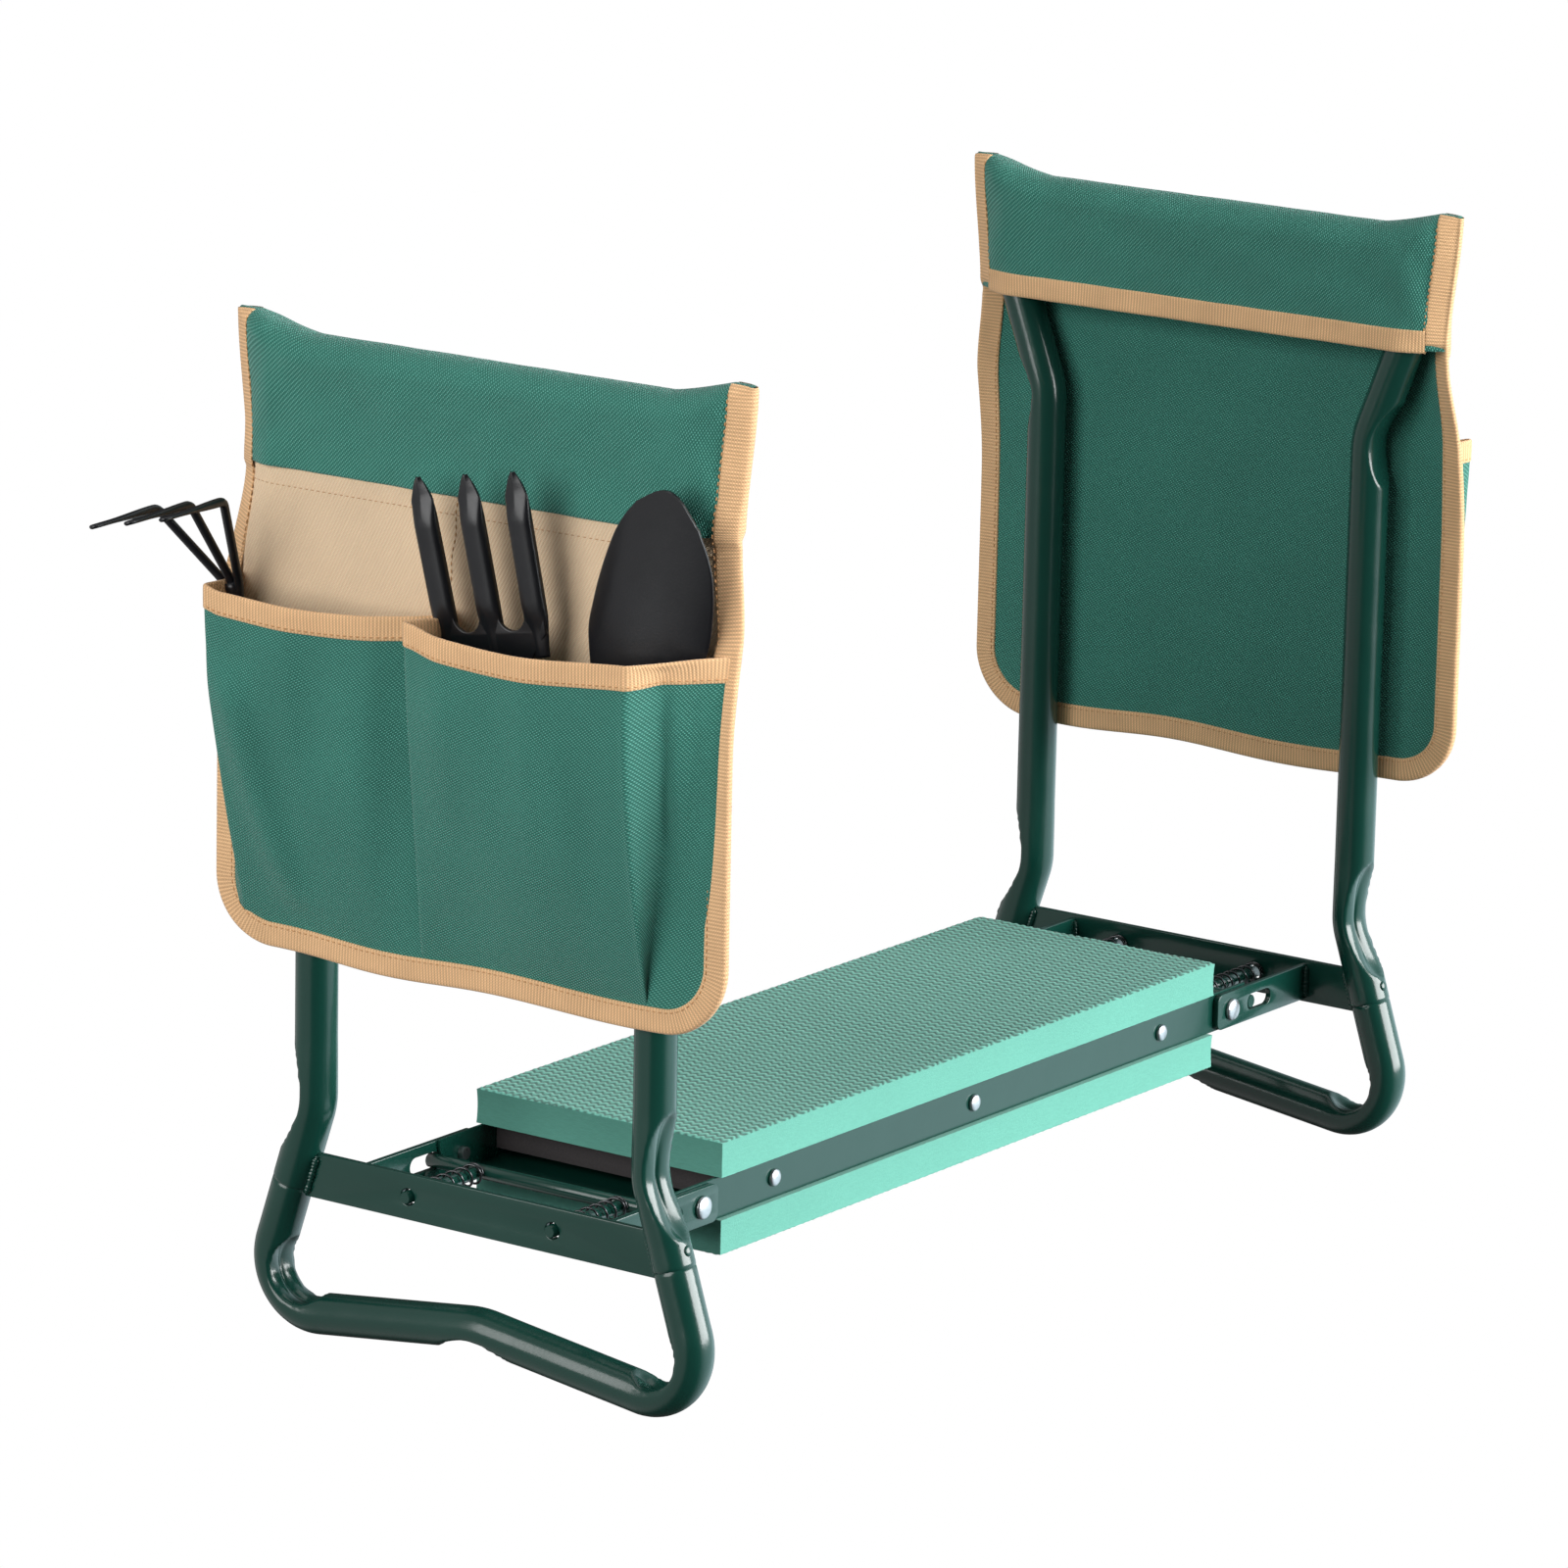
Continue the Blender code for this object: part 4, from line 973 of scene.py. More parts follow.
def pouch_cap(side, matrix):
    """The green band, folded over the handle's bar and down inside it as a short flap."""
    stations = np.linspace(-1.0, 1.0, 210)
    rows = []
    for share in stations:
        y = share * HALF_WIDTH
        half = float(cap_half_depth(y))
        top = float(cap_top(y))
        straight = np.linspace(CAP_LOW, top - half, 44)
        turn = np.linspace(0.0, math.pi, 26)[1:-1]
        face = np.full(len(straight), half)
        x = np.concatenate([face, half * np.cos(turn), -face])
        z = np.concatenate([straight, top - half + half * np.sin(turn), straight[::-1]])
        width = pouch_half_width(z) * share
        pull = np.clip((np.abs(width) - 0.085) / 0.05, 0.0, 1.0)
        fade = np.clip((HALF_WIDTH - 0.004 - np.abs(width)) / 0.014, 0.0, 1.0)
        fold = 0.0012 * pull * (1.0 + np.sin((z - BAR_Z) * 150.0 + np.abs(width) * 190.0))
        height = np.clip((z - CAP_LOW) / (BAR_Z - CAP_LOW), 0.0, 1.0)
        slack = 0.0007 * np.sin(height * math.pi) * (1.0 - pull)
        crease = creases(width, np.linspace(0.0, 0.15, len(z)))
        ridge = crease * (1.0 - 0.5 * pull) + fold * 0.6
        lap = np.where(x > 0.0, cap_lap(width, z), 0.0)
        moved = np.abs(x) + (ridge - slack) * fade + lap
        x = np.sign(x) * moved if half > 0.004 else x + lap
        rows.append(np.stack([FRAME_X + x, width, z], 1))
    grid = np.array(rows)
    cap = surface(side + "_band", grid, [GREEN], matrix)
    thick(cap, CLOTH)
    return applied(cap), grid[:, ::-1].transpose(1, 0, 2)


def panel_rows():
    """Rows of (y, z) over the panel, from its seam with the cap down to its rounded bottom."""
    upper = np.linspace(0.0, 0.78, 90)
    corner = 1.0 - 0.22 * np.cos(np.linspace(0.0, math.pi / 2, 30))
    top = SEAM_TOP + 0.003
    rows = []
    for level in np.concatenate([upper[:-1], corner]):
        z = top + (PANEL_BOTTOM - top) * level
        half = float(pouch_half_width(z))
        up = z - PANEL_BOTTOM
        if up < PANEL_CORNER_R:
            square = PANEL_CORNER_R ** 2 - (PANEL_CORNER_R - up) ** 2
            half -= PANEL_CORNER_R - math.sqrt(max(0.0, square))
        y = np.linspace(-half, half, 130)
        drop = (bottom_z(y) - PANEL_BOTTOM) * float(smoothstep((0.2 - z) / 0.08))
        rows.append(np.stack([y, z + drop], 1))
    return np.array(rows)


def pouch_panel(side, matrix):
    """The flat body: beige cloth outside, green lining inside."""
    flat = panel_rows()
    y, z = flat[:, :, 0], flat[:, :, 1]
    x = outer_x(y, np.minimum(z, CAP_LOW - 0.0001)) - CLOTH / 2
    panel = surface(side + "_panel", np.stack([x, y, z], 2), [GREEN, BEIGE], matrix, flat=flat)
    return applied(thick(panel, CLOTH, 1))


def along_columns(grid, distance):
    """The points a distance down each column of a grid, from its first row."""
    steps = np.linalg.norm(np.diff(grid, axis=0), axis=2)
    lengths = np.concatenate([np.zeros((1, grid.shape[1])), np.cumsum(steps, axis=0)])
    found = np.empty((grid.shape[1], 3))
    for c in range(grid.shape[1]):
        for axis in range(3):
            found[c, axis] = np.interp(distance, lengths[:, c], grid[:, c, axis])
    return found


def row_normals(first, second):
    """Unit normals at the first row of points, from the line along it and the way to the second row."""
    along = np.gradient(first, axis=0)
    down = second - first
    normal = np.cross(along, down)
    return normal / np.maximum(np.linalg.norm(normal, axis=1), 1e-12)[:, None]


def bound_edge(name, outer, inner, thickness, matrix):
    """Tape folded over the edge of cloth. outer and inner are grids of points on its two faces: their
    first rows lie at the edge and the others run in from it. The tape stands off by its thickness."""
    rows = []
    distances = TAPE_WIDTH * np.array([0.0, 0.15, 0.3, 0.45, 0.6, 0.75, 0.88, 0.95, 0.985, 1.0])
    lift = np.array([0.95, 1.0, 1.0, 1.0, 1.0, 1.0, 1.0, 0.95, 0.7, 0.0]) * thickness
    for grid, sign in ((inner, 1.0), (outer, -1.0)):
        layer = []
        for distance, height in zip(distances, lift):
            here = along_columns(grid, distance)
            normal = row_normals(here, along_columns(grid, distance + 0.0008))
            layer.append(here + normal * height * sign)
        rows.append(layer)
    inner_rows, outer_rows = rows[0][::-1], rows[1]
    low, high = inner_rows[-1], outer_rows[0]
    inward = outer_rows[2] - outer_rows[0]
    inward /= np.maximum(np.linalg.norm(inward, axis=1), 1e-12)[:, None]
    span = np.linalg.norm(high - low, axis=1)[:, None] / 2
    bulge = inward * np.minimum(span, 0.0014)
    fold = []
    for turn in np.linspace(-1.0, 1.0, 7)[1:-1]:
        a = turn * math.pi / 2
        fold.append((low + high) / 2 + (high - low) / 2 * math.sin(a) - bulge * math.cos(a))
    grid = np.array(inner_rows + fold + outer_rows)
    return surface(name, grid, [WEBBING], matrix)


def edge_line():
    """The pouch's edge in (y, z), from one top corner down and round to the other."""
    side_z = np.linspace(CAP_TOP - 0.0016, PANEL_BOTTOM + PANEL_CORNER_R, 220)
    right = np.stack([pouch_half_width(side_z), side_z], 1)
    r = PANEL_CORNER_R
    turns = np.linspace(0.0, -math.pi / 2, 40)[1:]
    corner = np.stack([HALF_WIDTH - r + r * np.cos(turns), PANEL_BOTTOM + r + r * np.sin(turns)], 1)
    half = np.concatenate([right, corner])
    other = half[::-1] * [-1.0, 1.0]
    line = resampled(np.concatenate([half, other]), 0.0012)
    fall = (bottom_z(line[:, 0]) - PANEL_BOTTOM) * smoothstep((0.2 - line[:, 1]) / 0.08)
    line[:, 1] += fall
    return line


def cloth_under_tape(y, z):
    """How far the pockets' cloth and the cap's lower edge lift the side tape off the body."""
    pockets = 0.0014 * smoothstep((POCKET_MOUTH + 0.012 - z) / 0.01)
    return pockets + cap_lap(y, z) * smoothstep((z - CAP_LOW + 0.005) / 0.004)


def side_binding(side, matrix):
    """The tape round the pouch's sides and bottom, the line of its edge and the way in from it."""
    line = edge_line()
    ahead = np.gradient(line, axis=0)
    ahead /= np.linalg.norm(ahead, axis=1)[:, None]
    inward = np.stack([ahead[:, 1], -ahead[:, 0]], 1)
    if inward[len(line) // 2, 1] < 0:
        inward = -inward
    outer, inner = [], []
    for distance in np.linspace(0.0, 0.015, 11):
        at = line + inward * distance
        y, z = at[:, 0], at[:, 1]
        outer.append(np.stack([outer_x(y, z) + cloth_under_tape(y, z), y, z], 1))
        inner.append(np.stack([inner_x(y, z), y, z], 1))
    tape = bound_edge(side + "_binding", np.array(outer), np.array(inner), 0.0009, matrix)
    return tape, line, inward


def hem(side, flap, matrix):
    """Tape over the lower edge of the inner flap, given as rows of points up from that edge."""
    cloth = flap[:24, 6:-6]
    skin = np.array([CLOTH / 2, 0.0, 0.0])
    return bound_edge(side + "_hem", cloth - skin, cloth + skin, 0.0008, matrix)


def smoothed_rows(rows, reach):
    """Rounds each row's corners, and leaves its ends where they are."""
    kernel = np.hanning(2 * reach + 3)[1:-1]
    kernel /= kernel.sum()
    before = 2 * rows[:, :1] - rows[:, reach:0:-1]
    after = 2 * rows[:, -1:] - rows[:, -2:-reach - 2:-1]
    padded = np.concatenate([before, rows, after], 1)
    made = np.zeros_like(rows)
    for i, weight in enumerate(kernel):
        made += weight * padded[:, i:i + rows.shape[1]]
    return made


# Each pocket's controls across its mouth: (y, depth) at the mouth, (y, depth share kept) at the foot,
# and how fast the depth falls away. Depth is measured out from the panel.
NARROW_POCKET = (
    ((-0.1425, 0.0003), (-0.1425, 0.0), 1.0),
    ((-0.1355, 0.0005), (-0.1355, 0.0), 1.0),
    ((-0.1290, 0.0130), (-0.1330, 0.0), 1.3),
    ((-0.1310, 0.0320), (-0.1270, 0.0), 1.55),
    ((-0.0850, 0.0300), (-0.0850, 0.0), 1.65),
    ((-0.0400, 0.0220), (-0.0520, 0.0), 1.5),
    ((-0.0210, 0.0130), (-0.0310, 0.0), 1.5),
    ((-0.0100, 0.0030), (-0.0205, 0.0), 1.2),
)
WIDE_POCKET = (
    ((-0.0110, 0.0006), (-0.0210, 0.0), 1.0),
    ((-0.0030, 0.0160), (-0.0180, 0.0), 0.8),
    ((-0.0110, 0.0360), (-0.0270, 0.0), 1.45),
    ((0.0150, 0.0400), (0.0100, 0.0), 1.6),
    ((0.0600, 0.0400), (0.0520, 0.0), 1.7),
    ((0.1100, 0.0340), (0.1000, 0.0), 1.9),
    ((0.1125, 0.0345), (0.1020, 0.0), 2.1),
    ((0.1205, 0.0225), (0.0990, 0.0), 0.5),
    ((0.1355, 0.0068), (0.1355, 0.0), 0.6),
    ((0.1425, 0.0003), (0.1425, 0.0), 1.0),
)

# Soft folds down each pocket: (y at the mouth, width, height, how far it leans by the foot, and the
# shares of the fall where it starts and ends).
NARROW_FOLDS = (
    (-0.127, 0.011, 0.0048, 0.034, 0.15, 0.98),
    (-0.070, 0.014, -0.0022, -0.010, 0.0, 0.6),
    (-0.045, 0.010, 0.0012, -0.010, 0.1, 0.9),
)
WIDE_FOLDS = (
    (0.010, 0.012, 0.0012, -0.014, 0.05, 0.9),
    (0.045, 0.012, -0.0014, -0.004, 0.0, 0.75),
    (0.075, 0.010, 0.0012, -0.004, 0.1, 0.8),
    (0.1245, 0.005, 0.0030, -0.002, 0.0, 0.6),
)
# The share of a pocket's fall where the bottom tape takes over.
FOOT_SHARE = 1.0 - (TAPE_WIDTH - 0.003) / (POCKET_MOUTH - PANEL_BOTTOM)


def pocket_grid(controls, sag, sag_middle, corner_lift, folds):
    """A bellows pocket's cloth as a grid, from the mouth down to the bottom tape. The mouth hangs
    lower by sag, most at sag_middle, and higher at its corners by corner_lift."""
    mouth = np.array([c[0] for c in controls])
    foot = np.array([c[1] for c in controls])
    power = np.array([c[2] for c in controls])
    spans = np.linalg.norm(np.diff(mouth, axis=0), axis=1)
    counts = np.maximum(4, np.round(spans / 0.0016)).astype(int)
    knots = np.concatenate([[0], np.cumsum(counts)])
    columns = np.arange(knots[-1] + 1)
    falls = np.linspace(0.0, 1.0, 108)
    rows = []
    for fall in falls:
        drift = fall ** 1.8
        y = mouth[:, 0] + (foot[:, 0] - mouth[:, 0]) * drift
        depth = mouth[:, 1] * (1.0 - min(1.0, fall / FOOT_SHARE) ** power)
        rows.append(np.stack([np.interp(columns, knots, y), np.interp(columns, knots, depth)], 1))
    rows = smoothed_rows(np.array(rows), 3)
    y, depth = rows[:, :, 0], rows[:, :, 1]
    fall = falls[:, None]
    across = (columns / columns[-1])[None, :]
    down = np.clip(fall / FOOT_SHARE, 0.0, 1.0)
    free = np.sin(across * math.pi) ** 0.5 * np.sin(down * math.pi) ** 0.6
    free = free * smoothstep((0.1345 - np.abs(y)) / 0.006)
    for middle, width, height, lean, low, high in folds:
        at = (y - middle - lean * fall) / width
        span = smoothstep((fall - low) / 0.18) * smoothstep((high - fall) / 0.25)
        depth = depth + height * np.exp(-at ** 2) * span * smoothstep((FOOT_SHARE - fall) / 0.1)
    ripple = np.sin(y * 118.0 + fall * 5.0) * 0.0004 + np.sin(y * 61.0 - fall * 4.0 + 1.0) * 0.0006
    depth = np.maximum(depth + ripple * free, 0.0)
    droop = sag * np.exp(-((y[:1] - sag_middle) / 0.05) ** 2) - corner_lift(y[:1])
    top = POCKET_MOUTH - droop
    foot_z = bottom_z(y) + 0.004
    z = top + (foot_z - top) * fall
    x = outer_x(y, z) + 0.0007 + depth
    corner = PANEL_CORNER_R - 0.004
    over = np.abs(y) - (HALF_WIDTH - corner)
    up = np.sqrt(np.clip(corner ** 2 - np.clip(over, 0.0, corner) ** 2, 0.0, None))
    least = foot_z + np.where(over > 0.0, corner - up, 0.0)
    z = np.maximum(z, least)
    return np.stack([x, y, z], 2)


def pocket(side, label, grid, matrix):
    """A pocket's cloth and the tape over its mouth."""
    cloth = surface("%s_%s_pocket" % (side, label), grid, [GREEN], matrix)
    applied(thick(cloth, CLOTH * 0.85))
    tape = bound_edge("%s_%s_mouth_tape" % (side, label), grid, grid, 0.0011, matrix)
    return cloth, tape


def stitches(name, lines, paint, matrix, length=0.0024, gap=0.0010, radius=0.00034):
    """Running stitches along lines of points, as small rounded lengths of thread."""
    work = bmesh.new()
    for line in lines:
        points = resampled(line, length + gap)
        for start, end in zip(points, points[1:]):
            step = Vector(end - start)
            if step.length < length * 0.6:
                continue
            middle = Vector(start + end) / 2
            turn = step.to_track_quat("Z", "Y").to_matrix().to_4x4()
            share = length / (length + gap)
            scale = Matrix.Diagonal((radius, radius, step.length * share / 2, 1))
            shape = Matrix.Translation(middle) @ turn @ scale
            bmesh.ops.create_icosphere(work, subdivisions=1, radius=1.0, matrix=shape)
    mesh = bpy.data.meshes.new(name)
    work.to_mesh(mesh)
    work.free()
    return link(name, mesh, [paint], matrix)


def pouch_stitching(side, matrix, line, inward, grids):
    """Stitches in the tapes, below the cap and down the middle seam."""
    row = TAPE_WIDTH - 0.0018
    seam = line + inward * row
    y, z = seam[:, 0], seam[:, 1]
    outer = np.stack([outer_x(y, z) + cloth_under_tape(y, z) + 0.00095, y, z], 1)
    inner = np.stack([inner_x(y, z) - 0.00095, y, z], 1)
    lines = [outer, inner]
    for grid in grids:
        here = along_columns(grid, row)
        normal = row_normals(here, along_columns(grid, TAPE_WIDTH - 0.001))
        lines.append(here - normal * 0.00125)
    made = [stitches(side + "_tape_stitches", lines, THREAD, matrix)]
    y = np.linspace(-0.131, 0.131, 160)
    below = np.full_like(y, CAP_LOW - 0.0085)
    across = np.stack([outer_x(y, below) + 0.0001, y, below], 1)
    made.append(stitches(side + "_band_stitches", [across], THREAD, matrix, radius=0.00026))
    z = np.linspace(CAP_LOW - 0.002, POCKET_MOUTH - 0.01, 60)
    y = -0.0085 - 0.006 * (CAP_LOW - z) / 0.06 + 0.0006 * np.sin(z * 300.0)
    down = np.stack([outer_x(y, z) + 0.0001, y, z], 1)
    made.append(stitches(side + "_middle_stitches", [down], THREAD, matrix, radius=0.00040))
    return made


def narrow_corner(y):
    return 0.0015 * smoothstep((-0.12 - y) / 0.01)


def wide_corner(y):
    return 0.0022 * smoothstep((0.012 - y) / 0.02) + 0.0012 * smoothstep((y - 0.118) / 0.02)


def pouch(side, matrix):
    body = side + "_pouch"
    cap, flap = pouch_cap(side, matrix)
    placed(cap, body, "green_fabric", side + "_pouch_cap")
    panel = placed(pouch_panel(side, matrix), body, "beige_fabric", side + "_pouch_panel")
    binding, line, inward = side_binding(side, matrix)
    placed(binding, body, "beige_webbing")
    hem_tape = placed(hem(side, flap, matrix), body, "beige_webbing")
    narrow_grid = pocket_grid(NARROW_POCKET, 0.0042, -0.070, narrow_corner, NARROW_FOLDS)
    wide_grid = pocket_grid(WIDE_POCKET, 0.0040, 0.055, wide_corner, WIDE_FOLDS)
    narrow, narrow_tape = pocket(side, "narrow", narrow_grid, matrix)
    wide, wide_tape = pocket(side, "wide", wide_grid, matrix)
    placed(narrow, body, "green_fabric", side + "_pouch_pockets")
    placed(wide, body, "green_fabric")
    placed(narrow_tape, body, "beige_webbing")
    placed(wide_tape, body, "beige_webbing")
    threads = pouch_stitching(side, matrix, line, inward, (narrow_grid, wide_grid))
    for piece in threads:
        placed(piece, body, "beige_webbing")


# ---------------------------------------------------------------- hand tools

def tool_matrix(y, depth, lean_out, lean_y):
    """Where a tool crosses the pocket's mouth: +Z up the tool, +X out of the pouch."""
    up = Vector((lean_out, lean_y, 1.0)).normalized()
    out = (Vector((1, 0, 0)) - up * up.x).normalized()
    across = up.cross(out)
    turn = Matrix((out, across, up)).transposed().to_4x4()
    return SIDES["left"] @ Matrix.Translation((PANEL_FACE + depth, y, POCKET_MOUTH)) @ turn


def tool_grip(name, matrix):
    top, length, wide = -0.034, 0.070, 0.0084
    profile = [(0.0, top + 0.001), (wide * 0.7, top + 0.001), (wide * 0.86, top)]
    for share in np.linspace(0.03, 0.95, 22):
        swell = 0.93 + 0.07 * math.cos(share * 2.6 * math.pi) - 0.2 * max(0.0, share - 0.75)
        groove = 0.0003 * (1.0 if int(share * 22) % 3 == 0 and 0.2 < share < 0.7 else 0.0)
        profile.append((wide * swell - groove, top - length * share))
    profile += [(wide * 0.62, top - length * 0.985), (wide * 0.3, top - length), (0.0, top - length)]
    made = turned(name + "_grip", profile, GRIP, matrix, 40)
    return placed(made, name, "green_grip", name + "_handle")


def shank(top, matrix):
    return wire("shank", [(0, 0, z) for z in np.linspace(-0.045, top, 20)], 0.0038, BLACK, matrix, 5)


def cultivator(matrix):
    """Three round tines that rise from the shank, turn sharply outwards and end in flat, blunt tips."""
    pieces = [shank(0.0, matrix)]
    out, top, tip_out, tip = 0.018, 0.0400, 0.063, 0.0405
    for spread in (-0.020, 0.0, 0.020):
        path = filleted([
            (0.0, spread * 0.08, -0.014),
            (0.0, spread * 0.2, 0.0),
            (out, spread, top),
            (tip_out, spread * 1.05, tip),
        ], (0.02, 0.0045), 6)
        rod = wire("rod", resampled(path, 0.0012), 0.00215, BLACK, None, 4)
        co = np.array([v.co for v in rod.data.vertices])
        beyond = np.clip((co[:, 0] - out - 0.003) / (tip_out - out - 0.003), 0.0, 1.0)
        beyond *= co[:, 2] > top - 0.006
        share = smoothstep(beyond / 0.75)
        middle = top + (tip - top) * beyond
        co[:, 2] += (middle - co[:, 2]) * 0.5 * share
        side = spread * (1.0 + 0.05 * beyond)
        blunt = 0.4 + 0.6 * smoothstep((1.03 - beyond) / 0.12)
        wide = (1.0 + 0.6 * share) * np.where(beyond > 0.5, blunt, 1.0)
        co[:, 1] = np.where(beyond > 0.0, side + (co[:, 1] - side) * wide, co[:, 1])
        rod.data.vertices.foreach_set("co", co.reshape(-1))
        rod.data.transform(matrix)
        pieces.append(rod)
    return joined("cultivator_tines", pieces)


def fork(matrix):
    """Three pressed channel tines with pointed tips on a short shank."""
    half, pitch = 0.0060, 0.0255
    tip, shoulder, web = 0.0715, 0.0605, 0.007
    pieces = [shank(-0.012, matrix)]
    levels = np.concatenate([np.linspace(-0.013, shoulder, 60), np.linspace(shoulder, tip, 24)[1:]])
    for index in (-1, 0, 1):
        rows = []
        for z in levels:
            share = (z + 0.013) / (tip + 0.013)
            point = float(np.clip((tip - z) / (tip - shoulder), 0.0, 1.0)) ** 0.62
            root = 0.6 + 0.4 * float(smoothstep((z + 0.013) / 0.02)) if index else 1.0
            width = max(half * point * root, 0.0006)
            middle = index * pitch * (1.0 + 0.06 * share)
            channel = float(smoothstep((shoulder + 0.004 - z) / 0.016))
            channel *= 0.3 + 0.7 * float(smoothstep((z + 0.002) / 0.015))
            row = []
            for across in np.linspace(-1.0, 1.0, 21):
                crown = 0.0034 * channel * math.sqrt(max(0.0, 1.0 - abs(across) ** 3.0))
                facet = 0.0012 * (1.0 - channel) * (1.0 - abs(across))
                row.append((-0.0012 + crown + facet, middle + across * width, z))
            rows.append(row)
        tine = surface("tine", rows, [BLACK], matrix)
        pieces.append(applied(thick(tine, 0.0016)))
    root = pitch / 2 - 0.0055
    outline = [(0.0, 0.012), (0.0055, 0.012)]
    outline += arc((pitch / 2, web), root, math.pi, 2.0 * math.pi, 14)
    outline += [(pitch - 0.0055, 0.012), (pitch + 0.0055, 0.010), (pitch + 0.0055, -0.002)]
    outline += [(pitch - 0.0055, -0.014), (0.009, -0.022), (0.0045, -0.030)]
    outline += [(-y, z) for y, z in reversed(outline[1:])]
    pieces.append(plate("web", [outline], 0.0022, 0.0006, BLACK, matrix @ CROSS_PLANE))
    return joined("fork_tines", pieces)


# (distance below the trowel's tip, half the blade's width)
TROWEL_OUTLINE = (
    (0.0, 0.0008),
    (0.0008, 0.0040),
    (0.003, 0.0077),
    (0.010, 0.0155),
    (0.019, 0.0225),
    (0.031, 0.0285),
    (0.045, 0.0320),
    (0.060, 0.0340),
    (0.080, 0.0335),
    (0.100, 0.0200),
    (0.109, 0.0036),
)


def trowel(matrix):
    """A pointed blade, bent round the tool's axis and slightly dished."""
    drops, halves = np.array(TROWEL_OUTLINE).T
    at = np.concatenate([np.linspace(0.0, 0.012, 26)[:-1], np.linspace(0.012, 0.109, 70)])
    widths = np.interp(at, drops, halves)
    smooth = np.convolve(np.pad(widths, 3, mode="edge"), np.ones(7) / 7.0, mode="valid")
    widths = np.where(at > 0.006, smooth, widths)
    rows = []
    for drop, half in zip(at[::-1], widths[::-1]):
        row = []
        for across in np.linspace(-1.0, 1.0, 41):
            swing = across * half / 0.060
            dish = 0.0016 * (1.0 - across ** 2) * math.sin(math.pi * min(1.0, drop / 0.1))
            row.append((0.060 * (math.cos(swing) - 1.0) - dish, 0.060 * math.sin(swing), 0.079 - drop))
        rows.append(row)
    blade = thick(surface("blade", rows, [BLACK], matrix), 0.0016)
    edge = blade.modifiers.new("edge", "BEVEL")
    edge.width = 0.0005
    edge.segments = 2
    edge.limit_method = "ANGLE"
    return joined("trowel_blade", [applied(blade), shank(-0.018, matrix)])


def tools():
    places = {
        "cultivator": (cultivator, (-0.127, 0.015, 0.05, -0.22)),
        "fork": (fork, (0.025, 0.017, 0.08, -0.18)),
        "trowel": (trowel, (0.100, 0.0125, 0.03, 0.276)),
    }
    for name, (make, place) in places.items():
        matrix = tool_matrix(*place)
        placed(make(matrix), name, "black_tool_steel", name + "_head")
        tool_grip(name, matrix)


# ---------------------------------------------------------------- camera, floor and lights

def camera():
    azimuth, elevation, roll = (math.radians(a) for a in (-54.507, 13.7025, 1.2413))
    distance = 3.8144
    aim = Vector((-0.0663, 0, RAIL_Z + 0.16))
    level = math.cos(elevation)
    back = Vector((math.sin(azimuth) * level, -math.cos(azimuth) * level, math.sin(elevation)))
    right = Vector((math.cos(azimuth), math.sin(azimuth), 0.0))
    up = back.cross(right)
    axis_x = right * math.cos(roll) + up * math.sin(roll)
    axis_y = up * math.cos(roll) - right * math.sin(roll)
    data = bpy.data.cameras.new("camera")
    data.lens = 183.27
    data.sensor_width = 36.0
    data.clip_end = 100.0
    made = bpy.data.objects.new("camera", data)
    bpy.context.scene.collection.objects.link(made)
    turn = Matrix((axis_x, axis_y, back)).transposed().to_4x4()
    made.matrix_world = Matrix.Translation(aim + back * distance) @ turn
    bpy.context.scene.camera = made


def floor():
    """A plain pale floor that runs far out round the seat and is not mirrored in glossy paint."""
    mesh = bpy.data.meshes.new("floor")
    reach, level = 40, -0.0005
    corners = [(-reach, -reach), (reach, -reach), (reach, reach), (-reach, reach)]
    mesh.from_pydata([(x, y, level) for x, y in corners], [], [(0, 1, 2, 3)])
    paint = Shader("floor", (0.16, 0.16, 0.16), 1.0, Specular_IOR_Level=0.0)
    seen = paint.add("LightPath").outputs["Is Camera Ray"]
    glow = paint.add("Emission", {"Color": (1.0, 1.0, 1.0, 1.0), "Strength": 1.0})
    mix = paint.add("MixShader", {0: seen, 1: paint.out.outputs[0], 2: glow.outputs[0]})
    output = next(node for node in paint.tree.nodes if node.type == "OUTPUT_MATERIAL")
    paint.tree.links.new(mix.outputs[0], output.inputs["Surface"])
    made = link("floor", mesh, [paint.material])
    made.visible_glossy = False


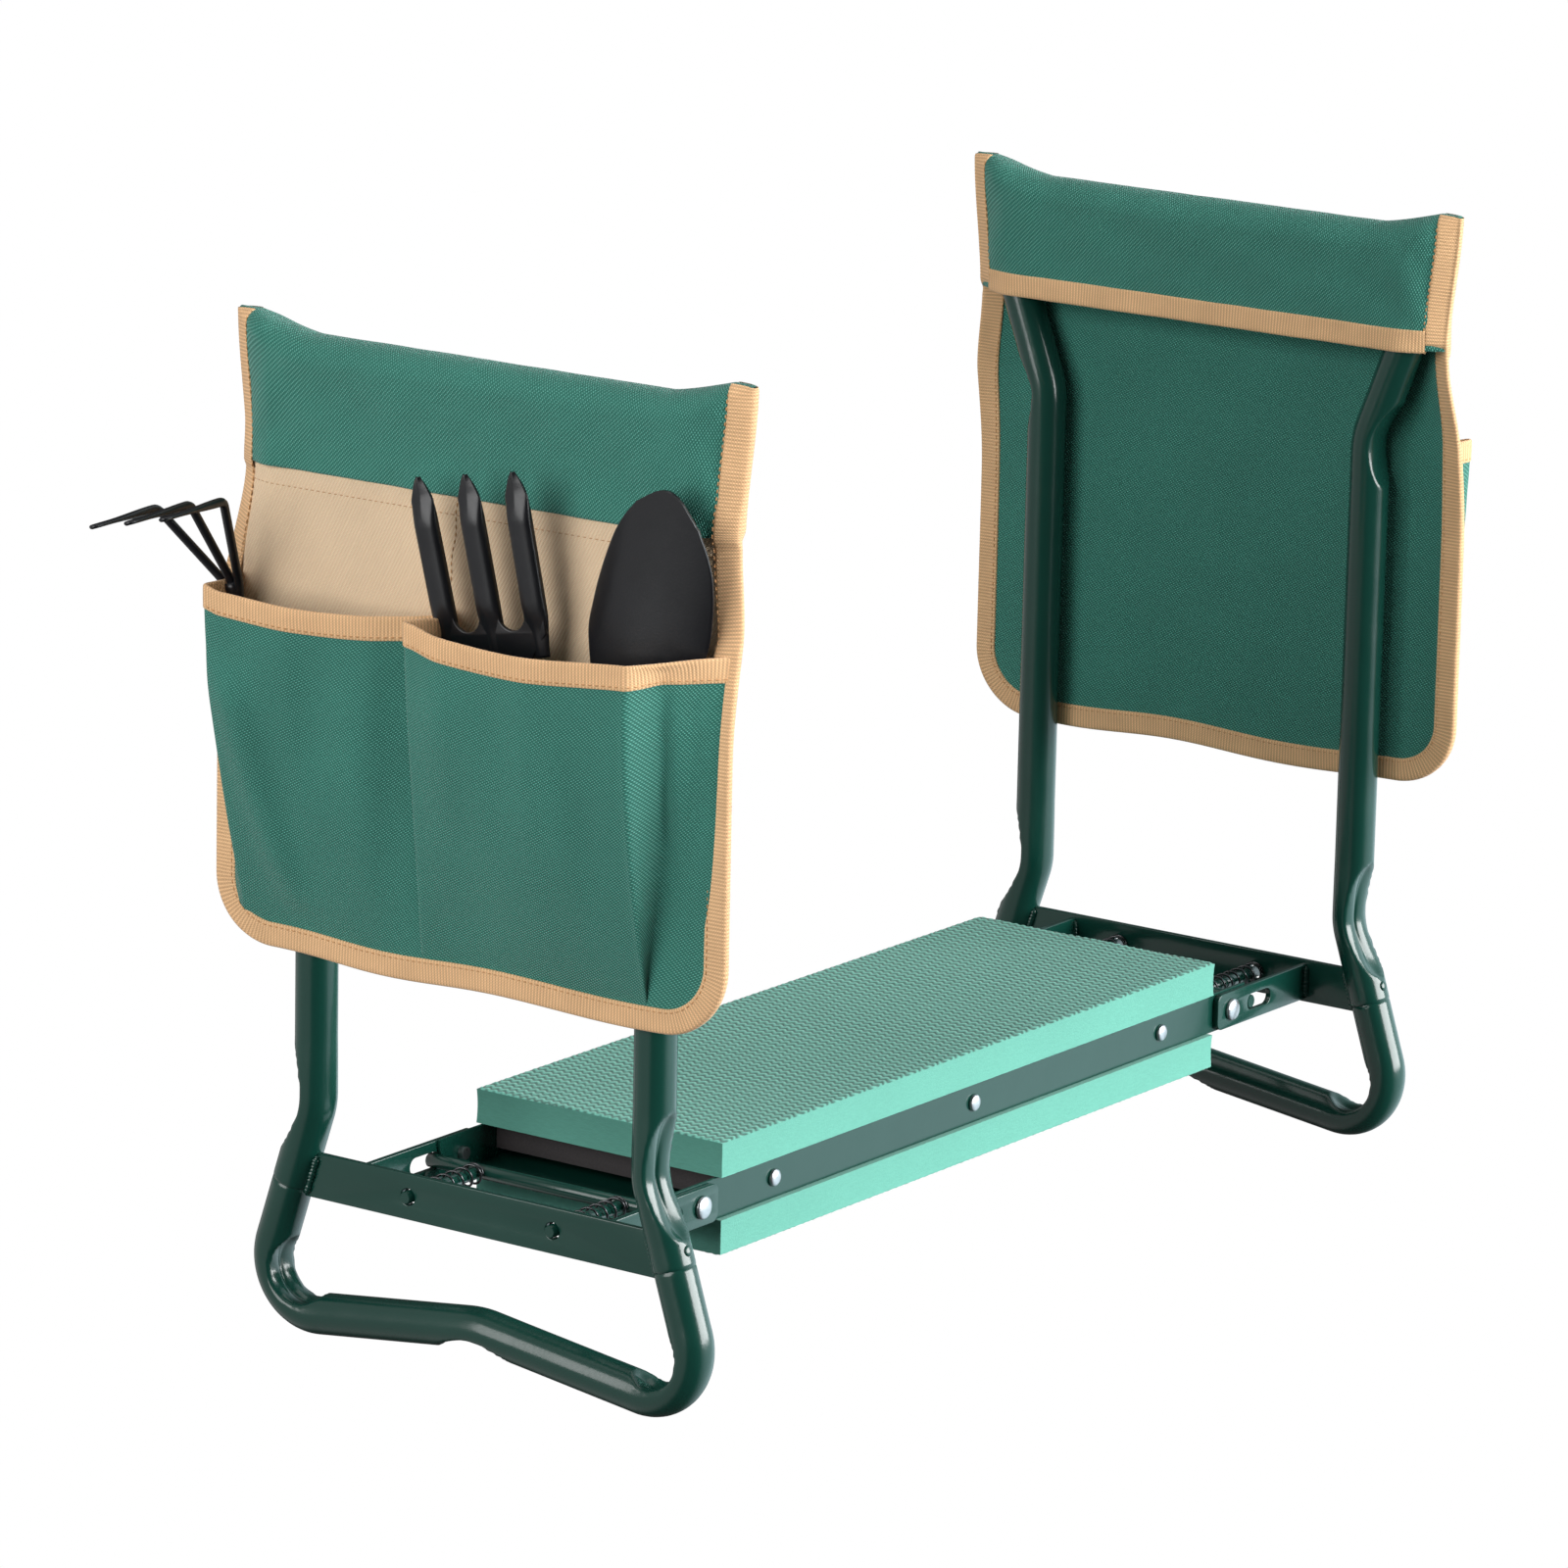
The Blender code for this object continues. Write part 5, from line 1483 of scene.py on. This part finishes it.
def lamp(name, energy, size, place, target):
    data = bpy.data.lights.new(name, "AREA")
    data.energy = energy
    data.shape = "RECTANGLE"
    data.size, data.size_y = size
    made = bpy.data.objects.new(name, data)
    bpy.context.scene.collection.objects.link(made)
    made.location = place
    made.rotation_mode = "QUATERNION"
    made.rotation_quaternion = (Vector(target) - Vector(place)).to_track_quat("-Z", "Y")


# (azimuth, cosine from it where the panel starts, cosine where it is full, strength, colour)
PANELS = (
    (-35.0, 0.30, 0.90, 1.5, (0.80, 1.0, 1.08, 1.0)),
    (125.0, 0.30, 0.60, 0.5, (1.0, 1.0, 1.0, 1.0)),
)


def studio():
    """A dim room with one wide soft panel beyond each long side of the seat, seen only in gloss."""
    world = bpy.data.worlds.new("world")
    world.use_nodes = True
    tree = world.node_tree
    background = tree.nodes["Background"]
    background.inputs["Color"].default_value = (1.0, 1.0, 1.0, 1.0)
    background.inputs["Strength"].default_value = 0.06
    facing = add_node(tree, "TexCoord").outputs["Generated"]
    glossy = add_node(tree, "LightPath").outputs["Is Glossy Ray"]
    total = background.outputs[0]
    for azimuth, start, full, strength, colour in PANELS:
        angle = math.radians(azimuth)
        ahead = (math.cos(angle), math.sin(angle), 0.0)
        toward = add_node(tree, "VectorMath", {0: facing, 1: ahead}, operation="DOT_PRODUCT")
        reach = {"Value": toward.outputs["Value"], "From Min": start, "From Max": full}
        reach["To Max"] = strength
        share = add_node(tree, "MapRange", reach, interpolation_type="SMOOTHSTEP")
        only = add_node(tree, "Math", {0: share.outputs[0], 1: glossy}, operation="MULTIPLY")
        glow = add_node(tree, "Background", {"Color": colour, "Strength": only.outputs[0]})
        total = add_node(tree, "AddShader", {0: total, 1: glow.outputs[0]}).outputs[0]
    tree.links.new(total, tree.nodes["World Output"].inputs["Surface"])
    bpy.context.scene.world = world


def lights():
    studio()
    middle = (0.0, 0.0, 0.2)
    lamp("key", 325.0, (3.4, 2.2), (1.3, -3.4, 1.1), middle)
    lamp("fill", 66.0, (2.0, 2.0), (-2.6, 0.5, 1.1), middle)
    lamp("top", 14.0, (2.4, 1.6), (0.0, 0.2, 2.4), middle)


# ---------------------------------------------------------------- assembly

seat()
for name, matrix in SIDES.items():
    end_frame(name, matrix)
    pouch(name, matrix)
tools()
camera()
floor()
lights()
bpy.context.scene.view_settings.view_transform = "Standard"
